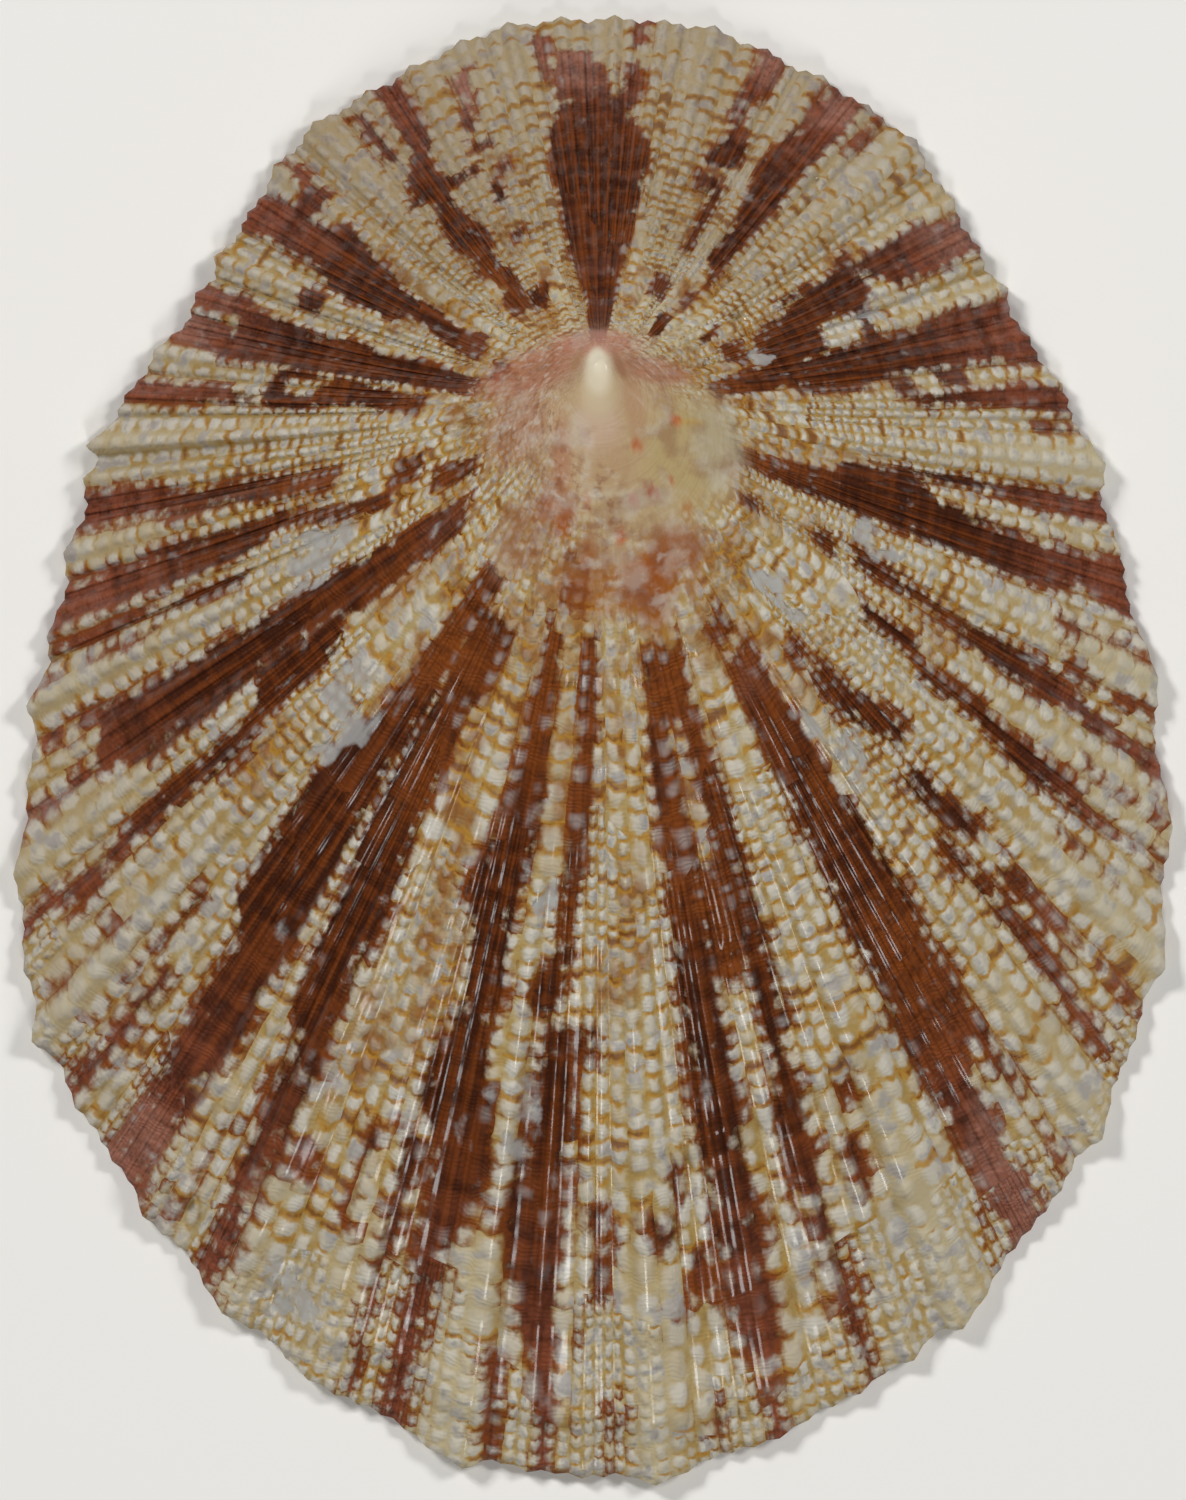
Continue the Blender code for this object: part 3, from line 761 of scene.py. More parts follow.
@dataclass(frozen=True)
class BeadedShell:
    """Calcite of the outside, grown in beads and glossy with oil: pale beads, ochre gaps, brown rays."""

    ground: str = "A88C54"
    cream: str = "B6A57C"
    bar_cream: str = "BEB292"
    white: str = "C9C4B8"
    core: str = "A19C98"
    pale_ochre: str = "AC7E2E"
    deep_ochre: str = "78420E"
    dark_brown: str = "3E1C0C"
    mid_brown: str = "6E3614"
    rust_brown: str = "804218"
    rim_red: str = "96543E"
    mauve: str = "6C453A"
    glaze: str = "8A5628"
    pink: str = "A87C6C"
    young: str = "946838"
    crown_thread: str = "8C6446"
    crown_brown: str = "7A4630"
    worn_grey: str = "A3A29F"
    dim_tan: str = "6E4A20"
    thread_apart: float = 0.26
    thread_height: float = 0.012
    bead_height: float = 0.10
    grain_height: float = 0.09

    def build(self) -> bpy.types.Material:
        """Builds the material.

        Returns:
            The material.
        """
        # Calcite laid down bead by bead is chalky, so the light parts are soft white lumps on cream. The oil gives
        # small sharp glints along the riblets and deepens the browns.
        b = Board("oiled beaded calcite")
        p = self.beads(b)
        dark = b.add("Math", (p.noise["wander"], 1.2, p.field["dark"]), operation="MULTIPLY_ADD")
        # The rays' sides step from bead to bead.
        for part, weight in ((p.chance[0], 0.8), (p.edge, 0.7), (p.noise["fine"], 1.0)):
            dark = b.add("Math", (part, weight, dark), operation="MULTIPLY_ADD")
        dark = b.add("MapRange", (dark, 1.4, 2.35), interpolation_type="SMOOTHSTEP")
        worn = b.add("Math", (p.noise["wear"], 3.0, p.field["worn"]), operation="MULTIPLY_ADD")
        worn = b.add("MapRange", (worn, 1.95, 2.7, 0.0, 0.8), interpolation_type="SMOOTHSTEP")
        crowned = b.add("Attribute", (), "Alpha", attribute_name="crown_colour")
        colour = self.bead_colour(b, p)
        for share, over in ((p.field["dim"], linear(self.dim_tan)), (dark, self.ray_colour(b, p)),
                            (worn, linear(self.worn_grey)), (crowned, self.crown_colour(b, p))):
            colour = b.add("Mix", {0: share, 6: colour, 7: over}, 2, data_type="RGBA")
        # The oil has run thin in places, so the gloss along each riblet breaks off and starts again.
        film = b.add("MapRange", (p.noise["film"], 0.38, 0.62, 0.05, 0.5), interpolation_type="SMOOTHSTEP")
        film = b.add("Mix", {0: crowned, 2: film, 3: 0.3}, data_type="FLOAT")
        b.feed(b.shader, {"Base Color": colour, "Normal": self.relief(b, p, dark, worn, crowned), "Roughness": 0.5,
                          "Specular IOR Level": 0.05, "Coat Weight": film, "Coat Roughness": 0.12, "Coat IOR": 1.45})
        return b.material

    def beads(self, b: Board) -> Beads:
        """Lays out the riblets and beads, and reads the noises and the painted fields.

        Args:
            b: Board to build on.

        Returns:
            The outputs that the other parts share.
        """
        uv = b.add("UVMap", (), uv_map="growth")
        field = {name: b.add("Attribute", (), "Fac", attribute_name=name) for name in (
            "dark", "worn", "white", "rust", "mauve", "glaze", "pink", "dim", "young", "cream", "net", "loose",
            "rim_red", "split", "widened", "reach", "threaded", "lined")}
        # Riblets of the young shell are twice as wide, and each one splits in two at about half of the growth. They
        # split once more where they have grown about 1.2 mm wide, near the rim of the back.
        pair = b.add("VectorMath", (uv, (0.5, 0.0, 0.0)), operation="MULTIPLY")
        pair = b.add("VectorMath", (pair,), operation="FLOOR")
        pair = b.add("TexWhiteNoise", (pair,), noise_dimensions="2D")
        first = b.add("Math", (pair, 0.16, field["split"]), operation="MULTIPLY_ADD")
        first = b.add("Math", (first, 0.0), operation="LESS_THAN")
        first = b.add("Math", (first, -0.5, 1.0), operation="MULTIPLY_ADD")
        again = b.add("Math", (pair, 0.2, field["widened"]), operation="MULTIPLY_ADD")
        again = b.add("Math", (again, 0.0), operation="GREATER_THAN")
        again = b.add("Math", (again, first), operation="ADD")
        uv = b.add("VectorMath", {0: uv, "Scale": again}, operation="SCALE")
        noise = {name: b.add("TexNoise", {
            "Vector": b.add("VectorMath", (uv, (across, along, 0.0)), operation="MULTIPLY"),
            "Scale": 1.0, "Detail": detail}, noise_dimensions="2D") for name, across, along, detail in NOISES}
        bead = self.bead_place(b, uv, field["loose"])
        part = b.add("VectorMath", (bead,), operation="FRACTION")
        part = b.add("VectorMath", (part, (0.5, 0.5, 0.0)), operation="SUBTRACT")
        part = b.add("VectorMath", (part,), operation="ABSOLUTE")
        part = b.add("VectorMath", {0: part, "Scale": 2.0}, operation="SCALE")
        across, along = (b.add("SeparateXYZ", (part,), axis) for axis in (0, 1))
        edge = b.add("Math", (across, along, 0.8), operation="SMOOTH_MAX")
        cell = b.add("VectorMath", (bead,), operation="FLOOR")
        cell = b.add("TexWhiteNoise", (cell,), "Color", noise_dimensions="2D")
        chance = tuple(b.add("SeparateColor", (cell,), channel) for channel in range(3))
        return Beads(uv, bead, across, along, edge, chance, noise, field)

    def bead_place(self, b: Board, uv: Socket, loose: Socket) -> Socket:
        """Place counted in riblets across and in beads along, where neighbouring riblets are out of step.

        Args:
            b: Board to build on.
            uv: Riblet and bead coordinates.
            loose: How far out of step neighbouring riblets are.

        Returns:
            The place.
        """
        # Beads wobble by up to a sixth of a riblet and a third of a bead, and each one bulges towards the rim on its
        # riblet's crest.
        wobble = b.add("TexNoise", {"Vector": uv, "Scale": 0.8, "Detail": 2.0}, "Color", noise_dimensions="2D")
        moved = b.add("VectorMath", (wobble, (0.36, 0.6, 0.0), uv), operation="MULTIPLY_ADD")
        moved = b.add("VectorMath", (moved, (-0.18, -0.3, 0.0)), operation="ADD")
        bulge = b.add("Math", (b.add("SeparateXYZ", (uv,)), 2.0 * math.pi), operation="MULTIPLY")
        bulge = b.add("Math", (bulge,), operation="COSINE")
        riblet = b.add("SeparateXYZ", (b.add("VectorMath", (moved,), operation="FLOOR"),))
        # The bulge leaves the riblet's own number as it is.
        drift = b.add("CombineXYZ", (riblet, b.add("SeparateXYZ", (uv,), 1)))
        drift = b.add("VectorMath", (drift, (0.08, 0.16, 0.0)), operation="MULTIPLY")
        drift = b.add("TexNoise", {"Vector": drift, "Scale": 1.0, "Detail": 1.0}, noise_dimensions="2D")
        shift = b.add("Math", (b.add("TexWhiteNoise", {"W": riblet}, noise_dimensions="1D"), loose),
                      operation="MULTIPLY")
        for part, weight in ((bulge, 0.06), (drift, 1.4)):
            shift = b.add("Math", (part, weight, shift), operation="MULTIPLY_ADD")
        return b.add("VectorMath", (moved, b.add("CombineXYZ", {1: shift})), operation="ADD")

    def bead_colour(self, b: Board, p: Beads) -> Socket:
        """Colour of the light parts: soft white lumps on cream, with ochre arcs in the gaps along the riblets.

        Args:
            b: Board to build on.
            p: Shared outputs.

        Returns:
            The colour.
        """
        field, cloud = p.field, p.noise["cloud"]
        dry = b.add("MapRange", (cloud, 0.35, 0.6))
        bar = b.add("MapRange", (field["cream"], 0.5, 1.0, 0.0, 0.75))
        warm = b.add("MapRange", (cloud, 0.62, 0.38, 0.2, 0.85))
        warm = b.add("Math", (field["glaze"], warm), operation="MULTIPLY")
        lump = b.add("CombineXYZ", (p.across, b.add("Math", (p.along, 0.85), operation="MULTIPLY")))
        lump = b.add("VectorMath", (lump,), "Value", operation="LENGTH")
        for part, weight in ((p.noise["fine"], 0.5), (cloud, -1.0)):
            lump = b.add("Math", (part, weight, lump), operation="MULTIPLY_ADD")
        lump = b.add("MapRange", (lump, 0.74, 0.24), interpolation_type="SMOOTHSTEP")
        strong = 0.5
        for part, weight in ((p.chance[1], 0.7), (field["cream"], -0.3), (field["glaze"], -0.55),
                             (field["young"], -0.2)):
            strong = b.add("Math", (part, weight, strong), operation="MULTIPLY_ADD", use_clamp=True)
        lump = b.add("Math", (lump, strong), operation="MULTIPLY")
        lump = b.add("Math", (field["white"], 0.35, lump), operation="MULTIPLY_ADD", use_clamp=True)
        hazy = b.add("MapRange", (cloud, 0.56, 0.7, 0.0, 0.8), interpolation_type="SMOOTHSTEP")
        ochre = self.ochre(b, p)
        net = b.add("MapRange", (ochre, 0.4, 1.0, 0.0, 0.85), interpolation_type="SMOOTHSTEP")
        deep = b.add("MapRange", (ochre, 1.0, 1.75), interpolation_type="SMOOTHSTEP")
        deep = b.add("Mix", {0: deep, 6: linear(self.pale_ochre), 7: linear(self.deep_ochre)}, 2, data_type="RGBA")
        colour = linear(self.ground)
        for share, over in ((dry, linear(self.cream)), (bar, linear(self.bar_cream)), (warm, linear(self.glaze)),
                            (lump, linear(self.white)), (hazy, linear(self.core)), (net, deep)):
            colour = b.add("Mix", {0: share, 6: colour, 7: over}, 2, data_type="RGBA")
        return self.tinted(b, colour, ((p.noise["rings"], 0.46, 0.64, 0.0, 0.75, field["young"], self.young),))

    def ochre(self, b: Board, p: Beads) -> Socket:
        """Strength of the ochre: arcs between the beads of a riblet, and in rich zones the grooves beside them.

        Args:
            b: Board to build on.
            p: Shared outputs.

        Returns:
            The strength, where 0.4 starts to show and 1 is full ochre.
        """
        field, zone = p.field, p.noise["zone"]
        gap = b.add("VectorMath", (p.bead, (0.0, 0.5, 0.0)), operation="ADD")
        gap = b.add("VectorMath", (gap,), operation="FLOOR")
        single = b.add("TexWhiteNoise", (gap,), noise_dimensions="2D")
        shared = b.add("VectorMath", (gap, (0.37, 0.83, 0.0)), operation="MULTIPLY")
        shared = b.add("TexNoise", {"Vector": shared, "Scale": 1.0, "Detail": 0.0}, noise_dimensions="2D")
        away = b.add("Math", (p.along, -2.3, 2.3), operation="MULTIPLY_ADD")
        away = b.add("CombineXYZ", (b.add("Math", (p.across, 0.6), operation="MULTIPLY"), away))
        away = b.add("VectorMath", (away,), "Value", operation="LENGTH")
        beside = b.add("MapRange", (field["dark"], -1.2, -0.2, 0.0, 0.2))
        rich = b.add("MapRange", (zone, 0.42, 0.64, 0.25, 1.0))
        rich = b.add("Math", (field["young"], rich), operation="ADD")
        rich = b.add("Math", (field["rim_red"], -0.7, rich), operation="MULTIPLY_ADD", use_clamp=True)
        groove = b.add("MapRange", (p.across, 0.55, 1.0, 0.0, 0.62), interpolation_type="SMOOTHSTEP")
        groove = b.add("Math", (rich, groove), operation="MULTIPLY")
        ochre = -1.85
        for part, weight in ((shared, 2.3), (single, 1.15), (field["white"], -0.7), (field["net"], 1.0),
                             (field["glaze"], 0.04), (field["young"], -0.5), (zone, 1.6), (beside, 1.0),
                             (groove, 0.9), (away, -0.9), (p.noise["fine"], 0.8)):
            ochre = b.add("Math", (part, weight, ochre), operation="MULTIPLY_ADD")
        return ochre

    def tinted(self, b: Board, colour: Socket, tints: Tints, bend: str = "SMOOTHSTEP") -> Socket:
        """Lays tints over a colour, each as far as a pattern rises inside its own zone.

        Args:
            b: Board to build on.
            colour: Colour to lay them over.
            tints: For each tint its pattern, where the pattern starts and ends to rise, the least and most share,
                the zone and the hex colour.
            bend: How the share rises.

        Returns:
            The colour.
        """
        for pattern, low, high, least, most, zone, tint in tints:
            share = b.add("MapRange", (pattern, low, high, least, most), interpolation_type=bend)
            share = b.add("Math", (share, zone), operation="MULTIPLY")
            colour = b.add("Mix", {0: share, 6: colour, 7: linear(tint)}, 2, data_type="RGBA")
        return colour

    def ray_colour(self, b: Board, p: Beads) -> Socket:
        """Colour of the dark rays: brown streaks and bands along each riblet, with painted shade that darkens it
        towards the grooves, rusty, red or mauve in places.

        Args:
            b: Board to build on.
            p: Shared outputs.

        Returns:
            The colour.
        """
        field, fine, bands = p.field, p.noise["fine"], p.noise["bands"]
        streaks_and_groove_shade = p.noise["streaks"]
        # The brown is lighter on each riblet's crest and darker towards the grooves between riblets. The darkening is
        # painted shade in the grooves, laid over streaks and bands that are the ray's own colour.
        for part, weight in ((bands, 0.8), (p.across, -0.3)):
            streaks_and_groove_shade = b.add("Math", (part, weight, streaks_and_groove_shade), operation="MULTIPLY_ADD")
        streaks_and_groove_shade = b.add("MapRange", (streaks_and_groove_shade, 0.5, 1.05), interpolation_type="SMOOTHSTEP")
        colour = b.add("Mix", {0: streaks_and_groove_shade, 6: linear(self.dark_brown), 7: linear(self.mid_brown)}, 2, data_type="RGBA")
        patchy = b.add("Math", (fine, bands), operation="ADD")
        colour = self.tinted(b, colour, tuple((patchy, 0.7, 1.3, 0.2, most, field[name], tint) for name, tint, most in (
            ("rust", self.rust_brown, 0.9), ("glaze", self.rust_brown, 0.6), ("rim_red", self.rim_red, 1.0),
            ("mauve", self.mauve, 0.4), ("pink", self.pink, 0.5))), "LINEAR")
        fringe = b.add("Math", (fine, -0.8, field["dark"]), operation="MULTIPLY_ADD")
        fringe = b.add("MapRange", (fringe, -0.05, -0.7, 0.0, 0.9), interpolation_type="SMOOTHSTEP")
        # Pale beads show through the rays, most near their sides and under the glaze.
        ghost = field["dark"]
        for part, weight in ((p.chance[2], -2.2), (field["glaze"], -1.1)):
            ghost = b.add("Math", (part, weight, ghost), operation="MULTIPLY_ADD")
        ghost = b.add("MapRange", (ghost, -0.9, -1.9), interpolation_type="SMOOTHSTEP")
        heart = b.add("MapRange", (p.edge, 0.9, 0.3, 0.0, 0.55), interpolation_type="SMOOTHSTEP")
        ghost = b.add("Math", (ghost, heart), operation="MULTIPLY")
        for share, tint in ((fringe, self.rust_brown), (ghost, self.core)):
            colour = b.add("Mix", {0: share, 6: colour, 7: linear(tint)}, 2, data_type="RGBA")
        return colour

    def crown_colour(self, b: Board, p: Beads) -> Socket:
        """Colour of the worn crown: the painted marks under threads, spokes and blotches.

        Args:
            b: Board to build on.
            p: Shared outputs.

        Returns:
            The colour.
        """
        threaded, lined = p.field["threaded"], p.field["lined"]
        colour = b.add("Attribute", (), "Color", attribute_name="crown_colour")
        # Young growth lines, about 0.2 mm apart.
        colour = self.tinted(
            b, colour, ((p.noise["threads"], 0.42, 0.68, 0.0, 0.16, threaded, self.crown_thread),), "LINEAR")
        # First riblets, which show as broken spokes about the smooth tip, and worn blotches of 1.5 mm.
        spokes = b.add("VectorMath", (p.uv, (0.42, 0.7, 0.0)), operation="MULTIPLY")
        spokes = b.add("TexNoise", {"Vector": spokes, "Scale": 1.0, "Detail": 3.0}, "Color", noise_dimensions="2D")
        blotch = b.add("TexCoord", (), "Object")
        blotch = b.add("TexNoise", {"Vector": blotch, "Scale": 650.0, "Detail": 4.0}, "Color")
        brown_spoke, pale_spoke, brown_spot, pale_spot = (
            b.add("SeparateColor", (noise,), channel) for noise in (spokes, blotch) for channel in (0, 1))
        return self.tinted(b, colour, (
            (brown_spoke, 0.48, 0.68, 0.0, 0.60, lined, self.crown_brown),
            (pale_spoke, 0.52, 0.72, 0.0, 0.45, lined, self.white),
            (brown_spot, 0.50, 0.68, 0.0, 0.42, threaded, self.crown_brown),
            (pale_spot, 0.50, 0.68, 0.0, 0.32, threaded, self.white)))

    def relief(self, b: Board, p: Beads, dark: Socket, worn: Socket, crowned: Socket) -> Socket:
        """Fine relief in millimetres: beads on the light parts, threads in the rays.

        Args:
            b: Board to build on.
            p: Shared outputs.
            dark: Share of the rays.
            worn: Share of the worn patches.
            crowned: Share of the smooth crown.

        Returns:
            The bent normal.
        """
        dome = b.add("MapRange", (p.edge, 1.0, 0.1, 0.0, self.bead_height), interpolation_type="SMOOTHSTEP")
        riblet = b.add("SeparateXYZ", (p.uv,))
        crest = b.add("Math", (riblet, 2.0 * math.pi), operation="MULTIPLY")
        crest = b.add("Math", (crest,), operation="COSINE")
        crest = b.add("MapRange", (crest, 0.4, -1.0, 0.0, self.bead_height), interpolation_type="SMOOTHSTEP")
        # Growth threads 0.26 mm apart, out of step from riblet to riblet, so the gloss breaks into dots.
        place = b.add("TexCoord", (), "Object")
        turns = b.add("TexWhiteNoise", {"W": b.add("Math", (riblet,), operation="FLOOR")}, noise_dimensions="1D")
        bend = b.add("TexNoise", {"Vector": place, "Scale": 900.0, "Detail": 1.0})
        for part, weight in ((bend, 4.0), (p.field["reach"], 1.0 / self.thread_apart)):
            turns = b.add("Math", (part, weight, turns), operation="MULTIPLY_ADD")
        thread = b.add("Math", (turns, 2.0 * math.pi), operation="MULTIPLY")
        thread = b.add("Math", (thread,), operation="COSINE")
        rough = b.add("MapRange", (dark, 0.0, 1.0, 0.4 * self.thread_height, self.thread_height))
        height = b.add("Mix", {0: dark, 2: dome, 3: crest}, data_type="FLOAT")
        # Lumps from 1.2 mm down to 0.5 mm.
        grain = b.add("TexNoise", {"Vector": place, "Scale": 850.0, "Detail": 1.3})
        for part, weight in ((thread, rough), (grain, self.grain_height)):
            height = b.add("Math", (part, weight, height), operation="MULTIPLY_ADD")
        smooth = b.add("MapRange", (b.add("Math", (worn, crowned), operation="MAXIMUM"), 0.0, 0.9, 1.0, 0.0))
        height = b.add("Math", (height, smooth), operation="MULTIPLY")
        return b.add("Bump", {"Strength": 1.0, "Distance": MM, "Height": height})


@dataclass(frozen=True)
class Nacre:
    """Lining of the inside: thin bluish white nacre, where the rays show faintly near the rim."""

    silver: str = "C2C6CA"
    rose: str = "C9B9B2"
    green: str = "B9C4BC"
    heart: str = "C8B594"
    ray: str = "8E6258"
    scar: str = "D8D2C4"
    edge_brown: str = "70382A"
    edge_cream: str = "BDB08C"
    ring_height: float = 0.05

    def build(self) -> bpy.types.Material:
        """Builds the material.

        Returns:
            The material.
        """
        # Thin layers, polished by the animal, give a silky gloss. The rose and green that play over their white are
        # painted into the colour in clouds: a painted sheen.
        b = Board("polished nacre")
        dark, grown, scar = (b.add("Attribute", (), "Fac", attribute_name=name) for name in ("dark", "grown", "scar"))
        # Painted sheen: silver turns to rose and pale green in clouds of about 6 mm, stretched by the growth lines.
        cloud = b.add("TexNoise", {"Vector": b.add("TexCoord", (), "Object"), "Scale": 160.0, "Detail": 2.0})
        rings = b.add("Math", (grown, 26.0, cloud), operation="MULTIPLY_ADD")
        rings = b.add("TexNoise", {"W": rings, "Scale": 1.0, "Detail": 2.0}, noise_dimensions="1D")
        ray = b.add("MapRange", (dark, -1.2, 1.0), interpolation_type="SMOOTHSTEP")
        near = b.add("MapRange", (grown, 0.5, 0.95, 0.0, 0.65), interpolation_type="SMOOTHSTEP")
        # The callus in the middle, inside the foot muscle's horseshoe scar, is thick and cream.
        heart = b.add("Math", (cloud, -0.12, grown), operation="MULTIPLY_ADD")
        heart = b.add("MapRange", (heart, 0.40, 0.34, 0.0, 0.8), interpolation_type="SMOOTHSTEP")
        border = b.add("Mix", {0: ray, 6: linear(self.edge_cream), 7: linear(self.edge_brown)}, 2, data_type="RGBA")
        edge = b.add("MapRange", (grown, 0.93, 0.975), interpolation_type="SMOOTHSTEP")
        colour = linear(self.silver)
        for share, over in (
            (b.add("MapRange", (cloud, 0.35, 0.65)), linear(self.rose)),
            (b.add("MapRange", (rings, 0.5, 0.75)), linear(self.green)),
            (b.add("Math", (ray, near), operation="MULTIPLY"), linear(self.ray)),
            (heart, linear(self.heart)),
            (b.add("Math", (scar, 0.7), operation="MULTIPLY"), linear(self.scar)),
            (edge, border),
        ):
            colour = b.add("Mix", {0: share, 6: colour, 7: over}, 2, data_type="RGBA")
        ring = b.add("Math", (grown, 60.0), operation="MULTIPLY")
        ring = b.add("TexNoise", {"W": ring, "Scale": 1.0}, noise_dimensions="1D")
        ring = b.add("Math", (ring, self.ring_height), operation="MULTIPLY")
        bump = b.add("Bump", {"Strength": 1.0, "Distance": MM, "Height": ring})
        b.feed(b.shader, {"Base Color": colour, "Normal": bump, "Roughness": 0.28, "IOR": 1.6, "Coat Weight": 0.6,
                          "Coat Roughness": 0.1})
        return b.material


@dataclass
class LimpetShell:
    """The shell as one grown piece: outside, rim and nacre lining."""

    low: tuple[float, float, float]
    high: tuple[float, float, float]
    crown_rows: int = 24
    shoulder_rows: int = 8
    body_rows: int = 84
    shoulder_growth: float = 0.17
    body_growth: float = 0.25
    inner_fine_rows: int = 12
    inner_finest_rows: int = 2
    flat_share: float = 0.65
    flat_window: tuple[float, float] = (0.25, 0.45)
    mean_reach: float = 25.0
    reach_share: float = 0.8
    bead_count: float = 140.0
    bead_rate: float = 27.0
    bead_swing: float = 4.5
    ragged_degrees: float = 2.5
    ragged_growth: float = 0.02
    first_split_growth: float = 0.50
    second_split_width: float = 1.2
    smooth_tip: Oval = Oval((0.24, 17.4), 0.55, 0.7, 1.6)
    smooth_crown: Oval = Oval((0.24, 16.4), 0.6, 1.2, 2.6)
    smooth_side: Oval = Oval((4.1, 13.6), 0.8, 2.2, 4.0)

    def __post_init__(self) -> None:
        """Lays out the rows of vertices from the outer tip over the rim to the inner tip."""
        crown = np.linspace(0.0, self.shoulder_growth, self.crown_rows, endpoint=False)
        shoulder = np.linspace(self.shoulder_growth, self.body_growth, self.shoulder_rows, endpoint=False)
        body = np.linspace(self.body_growth, 1.0, self.body_rows)
        self.outer = np.concatenate((crown, shoulder, body))
        self.insets = np.array((0.03, 0.10, 0.22, 0.50, 0.72))
        self.lifts = np.array((0.55, 0.20, 0.0, 0.0, 0.0))
        self.inner = np.array((1.0, 0.985, 0.96, 0.93, 0.90, 0.86, 0.82, 0.77, 0.72, 0.67, 0.62, 0.57, 0.52, 0.47,
                               0.42, 0.37, 0.32, 0.27, 0.22, 0.17, 0.12, 0.08, 0.04, 0.0))
        self.first_rim = len(self.outer)
        self.first_inner = self.first_rim + len(self.insets)
        self.row_count = self.first_inner + len(self.inner)
        self.form = LimpetForm(height=(self.high[2] - self.low[2]) / MM)
        self.riblets = self.form.riblet_angles()

    def spun_barrel(self) -> bmesh.types.BMesh:
        """A closed barrel of unit radius, one ring per row, denser where the shell has its riblets.

        Returns:
            The bmesh.
        """
        bm = bmesh.new()
        ends = (0, self.row_count - 1)
        profile = [bm.verts.new((0.0, 0.0 if row in ends else 1.0, row)) for row in range(self.row_count)]
        lines = [bm.edges.new(pair) for pair in zip(profile, profile[1:])]
        bmesh.ops.spin(
            bm, geom=profile + lines, cent=(0.0, 0.0, 0.0), axis=(0.0, 0.0, -1.0),
            angle=2.0 * math.pi, steps=len(self.riblets) - 1, use_merge=True,
        )
        bmesh.ops.remove_doubles(bm, verts=bm.verts, dist=0.0001)
        self.double_columns(bm, self.crown_rows, self.first_inner + self.inner_fine_rows)
        self.double_columns(bm, self.crown_rows + self.shoulder_rows, self.first_inner + self.inner_finest_rows)
        return bm

    def double_columns(self, bm: bmesh.types.BMesh, first_row: int, last_row: int) -> None:
        """Splits every face between two rows in two across the barrel, and keeps the new vertices on it.

        Args:
            bm: The barrel.
            first_row: First row to split.
            last_row: Last row to split.
        """
        rings = [
            edge for edge in bm.edges
            if round(edge.verts[0].co.z) == round(edge.verts[1].co.z)
            and first_row <= round(edge.verts[0].co.z) <= last_row
        ]
        bmesh.ops.subdivide_edges(bm, edges=rings, cuts=1, use_grid_fill=True, use_single_edge=True)
        for vert in bm.verts:
            radius = math.hypot(vert.co.x, vert.co.y)
            if radius > 0.5:
                vert.co.x /= radius
                vert.co.y /= radius

    def shaped(self, row: Whole, riblet: Floats) -> Floats:
        """Places of the vertices.

        Args:
            row: Row of each vertex.
            riblet: Place of each vertex counted in riblets.

        Returns:
            Points in millimetres, fitted to the CAD box.
        """
        angle = np.interp(riblet, np.arange(len(self.riblets)), self.riblets)
        points = np.zeros((len(row), 3))
        outside, inside = row < self.first_rim, row >= self.first_inner
        rim = ~outside & ~inside
        points[outside] = self.form.outside(angle[outside], riblet[outside], self.outer[row[outside]])
        step = row[rim] - self.first_rim
        points[rim] = self.form.rim(angle[rim], riblet[rim], self.insets[step], self.lifts[step])
        points[inside] = self.form.inside(angle[inside], self.inner[row[inside] - self.first_inner])
        low, high = points.min(axis=0), points.max(axis=0)
        box_low, box_high = np.array(self.low) / MM, np.array(self.high) / MM
        return box_low + (points - low) / (high - low) * (box_high - box_low)

    def build(self) -> bpy.types.Object:
        """Builds the piece, its colours and its materials.

        Returns:
            The finished object.
        """
        bm = self.spun_barrel()
        barrel = np.array([tuple(vert.co) for vert in bm.verts])
        count = len(self.riblets) - 1
        row = np.round(barrel[:, 2]).astype(int)
        riblet = (np.arctan2(barrel[:, 0], barrel[:, 1]) / (2.0 * np.pi) * count) % count
        points = self.shaped(row, riblet)
        for vert, point in zip(bm.verts, points):
            vert.co = point
        bm.normal_update()
        bmesh.ops.recalc_face_normals(bm, faces=bm.faces)
        bmesh.ops.scale(bm, vec=(MM, MM, MM), verts=bm.verts)
        mesh = bpy.data.meshes.new("limpet_shell")
        bm.to_mesh(mesh)
        bm.free()
        mesh.shade_smooth()
        self.lay_growth_map(mesh, row, riblet, points)
        self.paint(mesh, points)
        mesh.materials.append(BeadedShell().build())
        mesh.materials.append(Nacre().build())
        loops, starts = self.corners(mesh)
        nearest = np.minimum.reduceat(row[loops], starts)
        mesh.polygons.foreach_set("material_index", (nearest >= self.first_inner).astype(np.int32))
        shell = bpy.data.objects.new("limpet_shell", mesh)
        bpy.context.scene.collection.objects.link(shell)
        # A face of n corners makes n - 2 triangles.
        log.info("limpet_shell: %d vertices, %d riblets, %d triangles", len(mesh.vertices), count,
                 len(loops) - 2 * len(starts))
        return shell

    def corners(self, mesh: bpy.types.Mesh) -> tuple[Whole, Whole]:
        """The vertex of every face corner, and the first corner of every face.

        Args:
            mesh: The mesh.

        Returns:
            Vertex numbers, and first corners.
        """
        loops = np.zeros(len(mesh.loops), dtype=np.int32)
        mesh.loops.foreach_get("vertex_index", loops)
        starts = np.zeros(len(mesh.polygons), dtype=np.int32)
        mesh.polygons.foreach_get("loop_start", starts)
        return loops.astype(int), starts.astype(int)

    def lay_growth_map(self, mesh: bpy.types.Mesh, row: Whole, riblet: Floats, points: Floats) -> None:
        """Lays the growth map: riblets across, beads along.

        Args:
            mesh: The mesh.
            row: Row of each vertex.
            riblet: Place of each vertex counted in riblets.
            points: Places of the vertices in millimetres.
        """
        growths = np.concatenate((self.outer, np.ones(len(self.insets)) + 0.01, self.inner))
        angle = np.interp(riblet, np.arange(len(self.riblets)), self.riblets)
